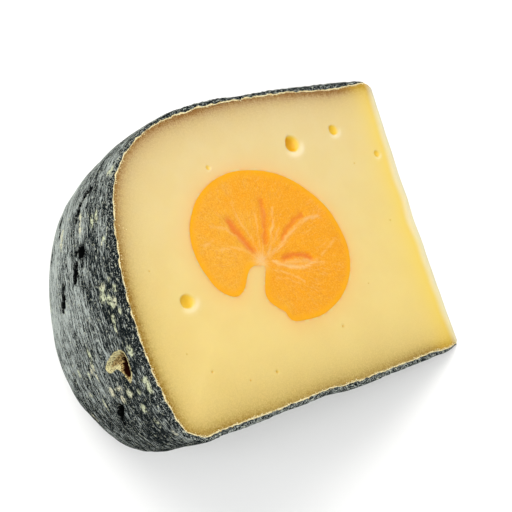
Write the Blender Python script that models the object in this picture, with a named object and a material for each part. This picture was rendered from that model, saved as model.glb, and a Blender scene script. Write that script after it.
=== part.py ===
"""A wedge cut from a small wheel of cheese, with a blue-grey rind and an orange fruit core.

The wedge lies on one of its two cut faces. The other cut face slopes up from the tip at the
wheel's angle, so it is the one that shows. Metres, +Z up. The wheel's axis runs along Y, the
tip of the wedge is on the +X side and the rind's side wall on the -X side. The origin is at the
middle of the wedge's bounding box, on the plane that it rests on.
"""

import math

import bmesh
import bpy
import numpy as np
from mathutils import Matrix, Vector, noise

MM = 0.001

# The wheel and the wedge cut from it
WEDGE_ANGLE = math.radians(45.0)
WHEEL_HEIGHT = 80.2 * MM
CUT_GAP = 0.3 * MM

# The rind's side wall, as a section through the wheel's axis. The belly is its widest point,
# the foot the rounded lower corner and the shoulder the wide rounded upper one. The wheel
# isn't quite round: the section drifts from the first shape to the second within DRIFT_ANGLE.
SIDE_AT_CUT = {
    "belly_radius": 107.3 * MM,
    "belly_height": 32.0 * MM,
    "tuck_below": 2.2 * MM,
    "tuck_above": 4.7 * MM,
    "foot_depth": 9.2 * MM,
    "foot_height": 11.7 * MM,
    "shoulder_depth": 35.2 * MM,
    "shoulder_height": 23.8 * MM,
    "top_rise": 2.4 * MM,
}
SIDE_AROUND = {
    "belly_radius": 107.8 * MM,
    "belly_height": 30.0 * MM,
    "tuck_below": 3.5 * MM,
    "tuck_above": 5.4 * MM,
    "foot_depth": 7.9 * MM,
    "foot_height": 14.5 * MM,
    "shoulder_depth": 37.4 * MM,
    "shoulder_height": 25.5 * MM,
    "top_rise": 2.1 * MM,
}
DRIFT_ANGLE = math.radians(30.0)
RIND_SWELL = 0.35 * MM
RIND_SWELL_LENGTH = 11.0 * MM

# The top rises steeply near the axis and then levels out. The base is flat near the axis and
# curls up a little on its way to the foot. Both have rings at these shares of their radius.
TOP_CROWN = 0.45
TOP_RING_SHARES = (0.62, 0.27, 0.1)
BASE_CURL = 0.8 * MM
BASE_CURL_START = 42.0 * MM
BASE_CURL_END = 55.0 * MM
BASE_RING_SHARES = (0.08, 0.24, 0.44, 0.5, 0.55, 0.61, 0.8)

# How finely the side wall is divided: round the wheel, and up its section
STEPS_AROUND = 32
STEPS_FOOT = 6
STEPS_SIDE = 17
STEPS_SHOULDER = 14

# The worn tip edge between the two cut faces: its ends stand out and its middle is set back
TIP_LAND = 0.6 * MM
TIP_BOW = 2.5 * MM
TIP_RIPPLE = 0.35 * MM
TIP_RIPPLE_LENGTH = 7.0 * MM
STEPS_TIP = 24
TIP_ROUNDING = ((0.0, 1.0), (0.25, 0.7), (0.5, 0.6), (0.75, 0.7), (1.0, 1.0))

# The fruit core's outline on the cut face, as (distance from the axis, height) in millimetres:
# a rounded left lobe, a keyhole notch that opens downwards, and a larger right lobe
CORE_OUTLINE_MM = (
    (60.5, 62.6), (70.0, 60.8), (77.5, 55.3), (81.4, 47.5), (81.0, 40.3), (78.0, 34.4),
    (73.8, 31.3), (70.6, 32.0), (67.6, 35.4), (64.2, 37.7), (61.3, 37.8), (61.7, 34.8),
    (63.6, 31.6), (63.7, 28.2), (61.6, 24.9), (59.2, 21.9), (55.0, 20.7), (48.5, 20.4),
    (41.0, 22.3), (34.5, 26.4), (30.5, 33.5), (30.8, 42.0), (35.0, 50.3), (42.5, 57.0),
    (51.0, 61.2),
)
CORE_STEPS_PER_POINT = 3
CORE_STEPS_AROUND = 9
CUTTER_OVERRUN = math.radians(2.0)

# Seed pockets in the fruit, each as its two ends (radius, height) and its width, in millimetres
SEED_POCKETS_MM = (
    ((66.4, 49.6), (62.3, 41.4), 2.0),
    ((53.2, 51.5), (57.6, 42.0), 1.8),
    ((41.6, 45.8), (50.0, 41.8), 1.6),
    ((42.4, 35.0), (54.4, 37.2), 2.2),
)
SEED_POCKET_DEPTH = 0.7 * MM

# Eyes in the paste: radius, height, half width, half height and depth, in millimetres
PASTE_EYES_MM = (
    (38.1, 66.5, 2.2, 2.4, 2.6),
    (20.8, 68.2, 1.8, 1.5, 1.4),
    (6.9, 59.3, 1.4, 1.3, 1.2),
    (88.3, 33.2, 1.9, 2.1, 1.8),
)

# Pits in the rind: azimuth in degrees, height, half width, half height and depth, in millimetres
RIND_PITS_MM = (
    (7.2, 52.8, 1.5, 1.9, 2.2),
    (9.9, 49.2, 1.3, 2.4, 1.4),
    (16.0, 44.6, 1.5, 3.0, 1.2),
    (5.6, 67.2, 1.3, 0.9, 1.4),
    (8.4, 65.3, 1.6, 1.7, 1.4),
    (9.4, 61.8, 1.0, 1.5, 1.0),
    (9.7, 13.4, 1.6, 2.1, 1.5),
    (3.2, 24.2, 1.3, 2.4, 2.4),
    (5.4, 24.6, 2.9, 1.7, 0.8),
    (22.5, 61.0, 1.3, 1.8, 1.2),
    (29.0, 34.5, 1.4, 2.2, 1.3),
    (35.0, 18.5, 1.6, 1.3, 1.2),
    (37.5, 52.0, 1.2, 1.6, 1.3),
)

# Every hollow is an ellipsoid with this share of unevenness, which has about this many waves
# over its radius and differs between hollows further apart than the spacing
HOLLOW_ROUGHNESS = 0.12
HOLLOW_WAVES = 1.5
HOLLOW_SPACING = 5.0 * MM

# Colours (linear), roughness and metallic value of each material
PASTE_COLOUR = (0.87, 0.66, 0.27, 1.0)
RIND_COLOUR = (0.065, 0.085, 0.092, 1.0)
FRUIT_COLOUR = (0.96, 0.40, 0.03, 1.0)
PASTE_ROUGHNESS = 0.45
RIND_ROUGHNESS = 0.85
FRUIT_ROUGHNESS = 0.4
PASTE_SLOT = 0
RIND_SLOT = 1


def clear_scene():
    for thing in list(bpy.data.objects):
        bpy.data.objects.remove(thing, do_unlink=True)


def make_material(name, colour, roughness):
    material = bpy.data.materials.new(name)
    material.use_nodes = True
    shader = material.node_tree.nodes["Principled BSDF"]
    shader.inputs["Base Color"].default_value = colour
    shader.inputs["Roughness"].default_value = roughness
    shader.inputs["Metallic"].default_value = 0.0
    material.diffuse_color = colour
    return material


def make_object(name, mesh_builder, materials):
    """A new object from a bmesh, with its faces pointing out."""
    bmesh.ops.recalc_face_normals(mesh_builder, faces=mesh_builder.faces)
    mesh = bpy.data.meshes.new(name)
    mesh_builder.to_mesh(mesh)
    mesh_builder.free()
    for material in materials:
        mesh.materials.append(material)
    thing = bpy.data.objects.new(name, mesh)
    bpy.context.scene.collection.objects.link(thing)
    return thing


# Places on the wheel

def radial_direction(azimuth):
    """Away from the wheel's axis, at an azimuth counted from the visible cut face."""
    angle = WEDGE_ANGLE - azimuth
    return Vector((-math.cos(angle), 0.0, math.sin(angle)))


def wheel_point(radius, azimuth, height):
    return radial_direction(azimuth) * radius + Vector((0.0, height, 0.0))


def eased(value, start, end):
    """0 before start and 1 after end, with a smooth change between them."""
    share = min(max((value - start) / (end - start), 0.0), 1.0)
    return share * share * (3.0 - 2.0 * share)


def mixed_side(azimuth):
    """The side wall's sizes at this azimuth, between the shape at the cut and the one around."""
    share = eased(azimuth, 0.0, DRIFT_ANGLE)
    return {
        key: SIDE_AT_CUT[key] * (1.0 - share) + SIDE_AROUND[key] * share for key in SIDE_AT_CUT
    }


def round_corner(start, corner, end, steps):
    """Points of a rounded corner from start to end, both ends included."""
    along = np.linspace(0.0, 1.0, steps + 1)[:, None]
    return (1 - along) ** 2 * start + 2 * along * (1 - along) * corner + along**2 * end


def base_height(radius):
    return BASE_CURL * eased(radius, BASE_CURL_START, BASE_CURL_END)


def rind_section(azimuth):
    """The rind's section as (radius, height) rows, from the base near the axis out to the
    foot, up the side wall, over the shoulder and back in along the top."""
    side = mixed_side(azimuth)
    rim_height = WHEEL_HEIGHT + side["top_rise"]
    foot_top = side["foot_height"]
    shoulder_start = rim_height - side["shoulder_height"]
    below = side["belly_height"] - foot_top
    above = shoulder_start - side["belly_height"]

    heights = np.linspace(foot_top, shoulder_start, STEPS_SIDE + 1)
    offsets = heights - side["belly_height"]
    tuck = np.where(
        offsets < 0,
        side["tuck_below"] * (offsets / below) ** 2,
        side["tuck_above"] * (offsets / above) ** 2,
    )
    wall = np.column_stack([side["belly_radius"] - tuck, heights])

    foot_lean = 2 * side["tuck_below"] / below * (foot_top - BASE_CURL)
    foot_corner = np.array([wall[0, 0] - foot_lean, BASE_CURL])
    foot_start = foot_corner - (side["foot_depth"], 0.0)
    foot = round_corner(foot_start, foot_corner, wall[0], STEPS_FOOT)

    shoulder_lean = 2 * side["tuck_above"] / above * side["shoulder_height"]
    shoulder_corner = np.array([wall[-1, 0] - shoulder_lean, rim_height])
    shoulder_end = shoulder_corner - (side["shoulder_depth"], 0.0)
    shoulder = round_corner(wall[-1], shoulder_corner, shoulder_end, STEPS_SHOULDER)

    base_radii = foot_start[0] * np.array(BASE_RING_SHARES)
    base = np.array([(radius, base_height(radius)) for radius in base_radii])
    top_shares = np.array(TOP_RING_SHARES)
    top_heights = WHEEL_HEIGHT + side["top_rise"] * top_shares**TOP_CROWN
    top = np.column_stack([shoulder_end[0] * top_shares, top_heights])
    return np.vstack([base, foot[:-1], wall[:-1], shoulder, top])


def wall_radius(azimuth, height):
    """How far the rind lies from the axis at a height on the foot, side wall or shoulder."""
    section = rind_section(azimuth)[len(BASE_RING_SHARES):-len(TOP_RING_SHARES)]
    return np.interp(height, section[:, 1], section[:, 0])


def swollen_section(azimuth):
    """The section with the rind's slow uneven swelling."""
    section = rind_section(azimuth)
    along = np.gradient(section, axis=0)
    outward = np.column_stack([along[:, 1], -along[:, 0]])
    outward /= np.linalg.norm(outward, axis=1)[:, None]
    for row, direction in zip(section, outward):
        place = wheel_point(row[0], azimuth, row[1]) / RIND_SWELL_LENGTH
        row += direction * RIND_SWELL * noise.noise(place)
    return section


def tip_radius(height):
    """How far the worn tip edge lies from the wheel's axis."""
    bow = TIP_BOW * math.sin(math.pi * height / WHEEL_HEIGHT)
    fade = math.sin(math.pi * height / WHEEL_HEIGHT)
    ripple = TIP_RIPPLE * fade * noise.noise(Vector((0.0, height / TIP_RIPPLE_LENGTH, 0.0)))
    return TIP_LAND + bow + ripple


# The block of cheese

def grid_of_vertices(mesh_builder, rows):
    return [[mesh_builder.verts.new(place) for place in row] for row in rows]


def quads_between(mesh_builder, grid, slot):
    for row, next_row in zip(grid, grid[1:]):
        for a, b, c, d in zip(row, row[1:], next_row[1:], next_row):
            mesh_builder.faces.new((a, b, c, d)).material_index = slot


def wedge_mesh():
    """The wedge before its hollows are cut: side wall, tip edge, two cut faces, top and base."""
    mesh_builder = bmesh.new()
    azimuths = np.linspace(0.0, WEDGE_ANGLE, STEPS_AROUND + 1)
    wall = grid_of_vertices(
        mesh_builder,
        [[wheel_point(r, azimuth, h) for r, h in swollen_section(azimuth)] for azimuth in azimuths],
    )
    quads_between(mesh_builder, wall, RIND_SLOT)

    heights = np.linspace(0.0, WHEEL_HEIGHT, STEPS_TIP + 1)
    tip = grid_of_vertices(
        mesh_builder,
        [[wheel_point(tip_radius(h) * size, WEDGE_ANGLE * turn, h) for h in heights]
         for turn, size in TIP_ROUNDING],
    )
    quads_between(mesh_builder, tip, PASTE_SLOT)

    for wall_edge, tip_edge in ((wall[0], tip[0]), (wall[-1], tip[-1])):
        mesh_builder.faces.new(wall_edge + tip_edge[::-1]).material_index = PASTE_SLOT

    for end in (0, -1):
        inner_ring = [row[end] for row in wall]
        tip_ring = [row[end] for row in reversed(tip)]
        mesh_builder.faces.new(inner_ring + tip_ring).material_index = RIND_SLOT
    return mesh_builder


# The fruit core and its tunnel

def smooth_loop(points, steps):
    """A closed curve through the points, with this many steps from each point to the next."""
    curve = []
    before, after, beyond = (np.roll(points, shift, axis=0) for shift in (1, -1, -2))
    for a, b, c, d in zip(before, points, after, beyond):
        for share in np.arange(steps) / steps:
            curve.append(
                0.5 * (
                    2 * b
                    + (c - a) * share
                    + (2 * a - 5 * b + 4 * c - d) * share**2
                    + (3 * b - a - 3 * c + d) * share**3
                )
            )
    return np.array(curve)


def grown_loop(loop, distance):
    """The loop moved outwards by a distance."""
    along = np.roll(loop, -1, axis=0) - np.roll(loop, 1, axis=0)
    outward = np.column_stack([-along[:, 1], along[:, 0]])
    outward /= np.linalg.norm(outward, axis=1)[:, None]
    across = loop - loop.mean(axis=0)
    side = np.sign((outward * across).sum())
    return loop + side * distance * outward


def swept_mesh(loop, start, end):
    """A closed solid of the loop swept round the wheel's axis from one azimuth to another."""
    mesh_builder = bmesh.new()
    azimuths = np.linspace(start, end, CORE_STEPS_AROUND + 1)
    rings = grid_of_vertices(
        mesh_builder, [[wheel_point(r, azimuth, h) for r, h in loop] for azimuth in azimuths]
    )
    quads_between(mesh_builder, [ring + ring[:1] for ring in rings], PASTE_SLOT)
    mesh_builder.faces.new(rings[0])
    mesh_builder.faces.new(rings[-1])
    return mesh_builder


# Hollows

def add_hollow(mesh_builder, centre, across, up, out, sizes, slot, detail=3):
    """Adds a slightly uneven ellipsoid, whose half sizes run across, up and out."""
    made = bmesh.ops.create_icosphere(mesh_builder, subdivisions=detail, radius=1.0)
    frame = Matrix((across * sizes[0], up * sizes[1], out * sizes[2])).transposed()
    for vertex in made["verts"]:
        place = vertex.co * HOLLOW_WAVES + centre / HOLLOW_SPACING
        uneven = 1.0 + HOLLOW_ROUGHNESS * noise.noise(place)
        vertex.co = centre + frame @ (vertex.co * uneven)
    for face in {face for vertex in made["verts"] for face in vertex.link_faces}:
        face.material_index = slot


def hollows_in_cheese():
    """The eyes of the visible cut face and the pits of the rind, as one cutter."""
    mesh_builder = bmesh.new()
    up = Vector((0.0, 1.0, 0.0))
    face_across = radial_direction(0.0)
    face_out = face_across.cross(up)
    for radius, height, half_width, half_height, depth in MM * np.array(PASTE_EYES_MM):
        centre = wheel_point(radius, 0.0, height)
        sizes = (half_width, half_height, depth)
        add_hollow(mesh_builder, centre, face_across, up, face_out, sizes, PASTE_SLOT)

    for degrees, *sizes_mm in RIND_PITS_MM:
        azimuth = math.radians(degrees)
        height, half_width, half_height, depth = (size * MM for size in sizes_mm)
        radius = wall_radius(azimuth, height)
        out = radial_direction(azimuth)
        across = up.cross(out)
        sizes = (half_width, half_height, depth)
        centre = wheel_point(radius, azimuth, height)
        add_hollow(mesh_builder, centre, across, up, out, sizes, RIND_SLOT, detail=2)
    return mesh_builder


def hollows_in_core():
    """The seed pockets that the knife opened, as one cutter."""
    mesh_builder = bmesh.new()
    out = radial_direction(0.0).cross(Vector((0.0, 1.0, 0.0)))
    for start, end, width in SEED_POCKETS_MM:
        start = wheel_point(start[0] * MM, 0.0, start[1] * MM)
        end = wheel_point(end[0] * MM, 0.0, end[1] * MM)
        along = (end - start).normalized()
        across = along.cross(out)
        sizes = ((end - start).length / 2, width * MM / 2, SEED_POCKET_DEPTH)
        add_hollow(mesh_builder, (start + end) / 2, along, across, out, sizes, PASTE_SLOT)
    return mesh_builder


def cut(thing, cutter):
    """Cuts one object out of another and keeps the cutter as a hidden wire shape."""
    modifier = thing.modifiers.new("cut " + cutter.name, "BOOLEAN")
    modifier.operation = "DIFFERENCE"
    modifier.solver = "EXACT"
    modifier.object = cutter
    cutter.hide_render = True
    cutter.display_type = "WIRE"


def centre_on_base(things):
    """Moves the meshes so that the origin is under the middle of the wedge."""
    block = things[0]
    corners = np.array([vertex.co for vertex in block.data.vertices])
    middle = (corners.min(axis=0) + corners.max(axis=0)) / 2
    shift = Matrix.Translation((-middle[0], -middle[1], 0.0))
    for thing in things:
        thing.data.transform(shift)


def build():
    clear_scene()
    paste = make_material("pressed_cheese_paste", PASTE_COLOUR, PASTE_ROUGHNESS)
    rind = make_material("bloomed_rind", RIND_COLOUR, RIND_ROUGHNESS)
    fruit = make_material("fruit_flesh", FRUIT_COLOUR, FRUIT_ROUGHNESS)

    outline = smooth_loop(MM * np.array(CORE_OUTLINE_MM), CORE_STEPS_PER_POINT)
    tunnel_outline = grown_loop(outline, CUT_GAP)

    cheese = make_object("cheese", wedge_mesh(), [paste, rind])
    core = make_object("fruit_core", swept_mesh(outline, 0.0, WEDGE_ANGLE), [fruit])
    tunnel_mesh = swept_mesh(tunnel_outline, -CUTTER_OVERRUN, WEDGE_ANGLE + CUTTER_OVERRUN)
    tunnel = make_object("tunnel_cutter", tunnel_mesh, [paste])
    eyes_and_pits = make_object("hollow_cutter", hollows_in_cheese(), [paste, rind])
    pockets = make_object("pocket_cutter", hollows_in_core(), [fruit])

    cut(cheese, tunnel)
    cut(cheese, eyes_and_pits)
    cut(core, pockets)
    centre_on_base([cheese, core, tunnel, eyes_and_pits, pockets])


build()
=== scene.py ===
# %% [markdown]
# # A wedge of cheese with a blue-grey rind and an orange fruit core
#
# The real thing is an eighth of a small farmhouse wheel. A knife has cut it twice through the
# wheel's axis, so it has two flat faces, a worn tip between them and a rounded wall of rind. It
# lies on one cut face and shows the other, which slopes up at the wheel's angle of 45 degrees.
#
# It could be carved from one block, but cheese is three materials that meet at clean borders.
# So the lesson builds three pieces, paste, rind and fruit, and then the crumbs that the knife left.
# All of them are laid out in the wheel's own coordinates: a distance from the axis, an azimuth
# behind the visible cut face and a height along the axis.

# %% Load the frame
import math

import bmesh
import bpy
import numpy as np
from mathutils import Matrix, Vector, geometry, noise


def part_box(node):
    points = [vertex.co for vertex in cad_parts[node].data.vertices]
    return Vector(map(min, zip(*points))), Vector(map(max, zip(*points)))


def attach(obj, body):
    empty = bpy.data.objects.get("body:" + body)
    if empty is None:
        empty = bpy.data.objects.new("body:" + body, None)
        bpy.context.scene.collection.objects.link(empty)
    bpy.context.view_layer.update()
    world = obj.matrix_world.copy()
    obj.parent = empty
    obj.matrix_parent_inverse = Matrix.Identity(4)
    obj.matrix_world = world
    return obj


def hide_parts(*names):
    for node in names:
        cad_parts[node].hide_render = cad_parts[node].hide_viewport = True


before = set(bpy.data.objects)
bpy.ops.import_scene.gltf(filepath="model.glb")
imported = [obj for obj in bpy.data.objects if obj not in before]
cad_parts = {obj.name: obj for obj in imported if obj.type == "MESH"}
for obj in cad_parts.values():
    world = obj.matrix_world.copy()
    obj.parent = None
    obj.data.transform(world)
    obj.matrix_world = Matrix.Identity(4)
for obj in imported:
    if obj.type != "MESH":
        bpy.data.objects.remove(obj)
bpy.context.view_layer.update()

BODY = "root"

# %% [markdown]
# ## The wheel's coordinates
#
# The frame gives the box of the solid cheese. Its tip is on the +X side and its base is on the
# -Y side, so the axis stands just past the tip and starts on the base. Every outline below is in
# millimetres, as (distance from the axis, height), and one function turns it into a place.

# %% Wheel coordinates
MM = 0.001
WEDGE_ANGLE = math.radians(45.0)
WHEEL_HEIGHT = 80.2
AXIS_PAST_TIP = 0.333
BASE_BULGE = 0.176

cheese_low, cheese_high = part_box("cheese")
AXIS_FOOT = np.array(
    (cheese_high.x + AXIS_PAST_TIP * MM, cheese_low.y + BASE_BULGE * MM, 0.0)
)
FACE_OUTWARD = np.array((math.cos(WEDGE_ANGLE), 0.0, math.sin(WEDGE_ANGLE)))


def places(radius, azimuth, height):
    """Places in metres for distances from the axis (mm), azimuths (radians) and heights (mm)."""
    radius, azimuth, height = np.broadcast_arrays(radius, azimuth, height)
    angle = WEDGE_ANGLE - azimuth
    offsets = np.stack([-radius * np.cos(angle), height, radius * np.sin(angle)], axis=-1)
    return AXIS_FOOT + offsets * MM


def eased(value, start, end):
    """0 before start and 1 after end, with a smooth change between them."""
    share = np.clip((value - start) / (end - start), 0.0, 1.0)
    return share * share * (3.0 - 2.0 * share)


def ripple(points, length, seed=0.0):
    """Smooth noise between about -1 and 1 at each point, with waves of about this length."""
    rows = np.atleast_2d(points) / length + seed
    if rows.shape[1] == 2:
        rows = np.column_stack([rows, np.full(len(rows), seed)])
    return np.array([noise.noise(row) for row in rows])


print("The wheel's axis stands at", AXIS_FOOT)

# %% [markdown]
# ## Lines and loops
#
# Outlines come back again and again: a crater, a fruit, the border of a face. Three
# helpers serve them all. One draws a smooth closed line through a few points, one measures how far
# a point is from a line, and one tells whether it lies inside.

# %% Helpers for lines
def smooth_loop(points, steps):
    """A closed curve through the points, with this many steps from each to the next."""
    points = np.array(points)
    before, after, beyond = (np.roll(points, shift, axis=0) for shift in (1, -1, -2))
    share = (np.arange(steps) / steps)[None, :, None]
    a, b, c, d = (part[:, None, :] for part in (before, points, after, beyond))
    curve = 0.5 * (
        2 * b + (c - a) * share
        + (2 * a - 5 * b + 4 * c - d) * share**2
        + (3 * b - a - 3 * c + d) * share**3
    )
    return curve.reshape(-1, 2)


def distance_to(points, line, closed=True):
    """Distance from each point to a polyline."""
    ends = np.roll(line, -1, axis=0) if closed else line[1:]
    starts = line if closed else line[:-1]
    nearest = np.full(len(points), np.inf)
    for start, end in zip(starts, ends):
        run = end - start
        share = np.clip((points - start) @ run / (run @ run), 0.0, 1.0)
        nearest = np.minimum(nearest, np.linalg.norm(points - start - share[:, None] * run, axis=1))
    return nearest


def inside(points, loop):
    """Whether each point lies inside a closed loop, by counting crossings."""
    crossings = np.zeros(len(points), dtype=int)
    for (x0, y0), (x1, y1) in zip(loop, np.roll(loop, -1, axis=0)):
        spans = (y0 > points[:, 1]) != (y1 > points[:, 1])
        if y0 != y1:
            meets = x0 + (points[:, 1] - y0) / (y1 - y0) * (x1 - x0)
            crossings += spans & (points[:, 0] < meets)
    return crossings % 2 == 1


test_square = np.array(((0.0, 0.0), (1.0, 0.0), (1.0, 1.0), (0.0, 1.0)))
print("A square's middle lies inside it:", bool(inside(np.array([(0.5, 0.5)]), test_square)[0]))

# %% [markdown]
# ## The section of the wheel
#
# A wheel that has drained in a cloth is flat on its base, bellies out low on its side and has a
# wide soft shoulder. The section is one flat outline: straight runs joined by rounded corners. The
# wheel isn't quite round, so it has a second outline further round, and the first drifts into it.

# %% The section's outline
SIDE_AT_CUT = {
    "belly_radius": 107.3,
    "belly_height": 32.0,
    "tuck_below": 2.2,
    "tuck_above": 4.7,
    "foot_depth": 9.2,
    "foot_height": 11.7,
    "shoulder_depth": 35.2,
    "shoulder_height": 23.8,
    "top_rise": 2.4,
}
SIDE_AROUND = {
    "belly_radius": 107.8,
    "belly_height": 30.0,
    "tuck_below": 3.5,
    "tuck_above": 5.4,
    "foot_depth": 7.9,
    "foot_height": 14.5,
    "shoulder_depth": 37.4,
    "shoulder_height": 25.5,
    "top_rise": 2.1,
}
DRIFT_ANGLE = math.radians(30.0)
TOP_CROWN = 0.45
BASE_CURL = 0.8
BASE_CURL_RADII = (42.0, 55.0)
TIP_LAND = 0.6
TIP_LIFT = 1.5
TIP_LIFT_REACH = 5.5
SHOULDER_SAG = 1.0
SAG_DEEPENS = (165.0, 198.0)
SAG_FADES = (208.0, 238.0)


def rounded_corner(start, corner, end):
    along = np.linspace(0.0, 1.0, 60)[:, None]
    return (1 - along) ** 2 * start + 2 * along * (1 - along) * corner + along**2 * end


def worn_corner(radii):
    """How far the corner by the tip is worn away, in millimetres of height."""
    return TIP_LIFT * np.clip(1.0 - radii / TIP_LIFT_REACH, 0.0, 1.0) ** 2


def section_outline(side):
    """Base, foot, side wall, shoulder and top, as closely spaced (radius, height) rows."""
    rim_height = WHEEL_HEIGHT + side["top_rise"]
    shoulder_start = rim_height - side["shoulder_height"]
    below = side["belly_height"] - side["foot_height"]
    above = shoulder_start - side["belly_height"]
    heights = np.linspace(side["foot_height"], shoulder_start, 120)
    offsets = heights - side["belly_height"]
    tuck = np.where(
        offsets < 0,
        side["tuck_below"] * (offsets / below) ** 2,
        side["tuck_above"] * (offsets / above) ** 2,
    )
    wall = np.column_stack([side["belly_radius"] - tuck, heights])

    foot_lean = 2 * side["tuck_below"] / below * (side["foot_height"] - BASE_CURL)
    foot_corner = np.array([wall[0, 0] - foot_lean, BASE_CURL])
    foot_start = foot_corner - (side["foot_depth"], 0.0)
    foot = rounded_corner(foot_start, foot_corner, wall[0])

    shoulder_lean = 2 * side["tuck_above"] / above * side["shoulder_height"]
    shoulder_corner = np.array([wall[-1, 0] - shoulder_lean, rim_height])
    shoulder_end = shoulder_corner - (side["shoulder_depth"], 0.0)
    shoulder = rounded_corner(wall[-1], shoulder_corner, shoulder_end)

    base_radii = np.linspace(TIP_LAND, foot_start[0], 160)
    base_heights = BASE_CURL * eased(base_radii, *BASE_CURL_RADII) + worn_corner(base_radii)
    base = np.column_stack([base_radii, base_heights])
    top_radii = np.linspace(shoulder_end[0], TIP_LAND, 160)
    top_heights = WHEEL_HEIGHT + side["top_rise"] * (top_radii / shoulder_end[0]) ** TOP_CROWN
    top_heights = top_heights - worn_corner(top_radii)
    top = np.column_stack([top_radii, top_heights])
    return np.vstack([base[:-1], foot[:-1], wall[:-1], shoulder[:-1], top])


def running_length(outline):
    steps = np.linalg.norm(np.diff(outline, axis=0), axis=1)
    return np.concatenate([[0.0], np.cumsum(steps)])


def at_lengths(outline, lengths):
    """Points of an outline at these lengths along it."""
    along = running_length(outline)
    return np.column_stack([np.interp(lengths, along, column) for column in outline.T])


def outward_of(outline):
    """The direction away from the cheese at each point of a section."""
    along = np.gradient(outline, axis=0)
    across = np.column_stack([along[:, 1], -along[:, 0]])
    return across / np.linalg.norm(across, axis=1)[:, None]


def sagging(outline):
    """The outline with its shoulder a little sunken, as soft cheese settles there."""
    length = running_length(outline)
    sag = SHOULDER_SAG * eased(length, *SAG_DEEPENS) * (1.0 - eased(length, *SAG_FADES))
    return outline - outward_of(outline) * sag[:, None]


outline_at_cut = sagging(section_outline(SIDE_AT_CUT))
outline_around = sagging(section_outline(SIDE_AROUND))
print("The section is", round(running_length(outline_at_cut)[-1], 1), "mm long")

# %% [markdown]
# ## Rows for the rind
#
# The side wall and the shoulder fill a third of the picture, so their rows are close together.
# The top and the base are seen from the edge only, and their rows are wider. The same rows are
# read off both outlines, so row 100 of one belongs to row 100 of the other.

# %% Choose the rows
ROW_STEP_FINE = 0.45
ROW_STEP_WIDE = 1.25
FINE_FROM = 88.0
FINE_TO = 222.0
STEP_CHANGE = 14.0
RIND_STARTS = 0.3
RIND_STOPS_SHORT = 2.2


def row_lengths(start, end):
    """Lengths along the section, with small steps over the side wall and wide ones elsewhere."""
    lengths = [start]
    while lengths[-1] < end:
        here = lengths[-1]
        fine = eased(here, FINE_FROM - STEP_CHANGE, FINE_FROM)
        fine = fine * (1.0 - eased(here, FINE_TO, FINE_TO + STEP_CHANGE))
        lengths.append(here + ROW_STEP_WIDE + (ROW_STEP_FINE - ROW_STEP_WIDE) * float(fine))
    return start + (np.array(lengths) - start) * (end - start) / (lengths[-1] - start)


total_at_cut = running_length(outline_at_cut)[-1]
total_around = running_length(outline_around)[-1]
row_length = row_lengths(RIND_STARTS, total_at_cut - RIND_STOPS_SHORT)
rows_at_cut = at_lengths(outline_at_cut, row_length)
rows_around = at_lengths(outline_around, row_length * total_around / total_at_cut)
ROWS = len(row_length)
print("The rind has", ROWS, "rows")

# %% [markdown]
# ## One helper for every node
#
# Geometry trees and materials are both made of nodes. One function adds a node, sets what it is,
# fills its sockets and gives back the output that the next node needs. A key is a socket's name,
# or its number where a node has several of one name. Another node's output becomes a link there,
# and anything else a value.

# %% Node helper
def fill(tree, node, sockets):
    """Fills a node's sockets, by name or by number, with links and values."""
    pairs = sockets.items() if isinstance(sockets, dict) else enumerate(sockets)
    for key, value in pairs:
        if isinstance(key, int):
            socket = node.inputs[key]
        else:
            socket = next(s for s in node.inputs if s.name == key and s.enabled)
        if isinstance(value, bpy.types.NodeSocket):
            tree.links.new(value, socket)
        else:
            socket.default_value = value


def add_node(tree, kind, settings=None, sockets=(), output=None):
    """Adds a node and gives back the named output, or else its first one that is in use."""
    node = tree.nodes.new(kind)
    for name, value in (settings or {}).items():
        setattr(node, name, value)
    fill(tree, node, sockets)
    if output:
        return node.outputs[output]
    return next((socket for socket in node.outputs if socket.enabled), None)


def new_geometry_tree(name, inputs):
    """A geometry tree with named inputs of (kind, default), and what its group input gives."""
    tree = bpy.data.node_groups.new(name, "GeometryNodeTree")
    for side in ("OUTPUT", "INPUT"):
        tree.interface.new_socket("Geometry", in_out=side, socket_type="NodeSocketGeometry")
    for label, (kind, default) in inputs.items():
        socket = tree.interface.new_socket(label, in_out="INPUT", socket_type="NodeSocket" + kind)
        if default is not None:
            socket.default_value = default
    return tree, add_node(tree, "NodeGroupInput").node.outputs


def end_tree(tree, geometry, material):
    """Makes any copies real, gives the mesh its material and ends the tree."""
    real = add_node(tree, "GeometryNodeRealizeInstances", None, {"Geometry": geometry})
    finished = add_node(tree, "GeometryNodeSetMaterial", None, {
        "Geometry": real, "Material": material,
    })
    add_node(tree, "NodeGroupOutput", None, {"Geometry": finished})
    return tree


def new_object(name, mesh):
    thing = bpy.data.objects.new(name, mesh)
    bpy.context.scene.collection.objects.link(thing)
    return thing


def run_tree(name, guide, tree, values):
    """Runs a tree on a guide mesh and gives back the plain mesh it makes."""
    thing = new_object(name, guide)
    modifier = thing.modifiers.new(tree.name, "NODES")
    modifier.node_group = tree
    for item in tree.interface.items_tree:
        if item.in_out == "INPUT" and item.name in values:
            modifier[item.identifier] = values[item.name]
    depsgraph = bpy.context.evaluated_depsgraph_get()
    depsgraph.update()
    mesh = bpy.data.meshes.new_from_object(thing.evaluated_get(depsgraph))
    thing.modifiers.remove(modifier)
    bpy.data.objects.remove(thing)
    return mesh

# %% [markdown]
# ## Colours and the material helper
#
# Colours are read off the photo as sRGB hex, but shaders count in linear light. One function
# changes the first into the second. Each material below starts with what the real one is.

# %% Colour helper
def linear(hex_colour):
    channels = [int(hex_colour[i:i + 2], 16) / 255.0 for i in (1, 3, 5)]
    values = [c / 12.92 if c <= 0.04045 else ((c + 0.055) / 1.055) ** 2.4 for c in channels]
    return (*values, 1.0)


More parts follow.
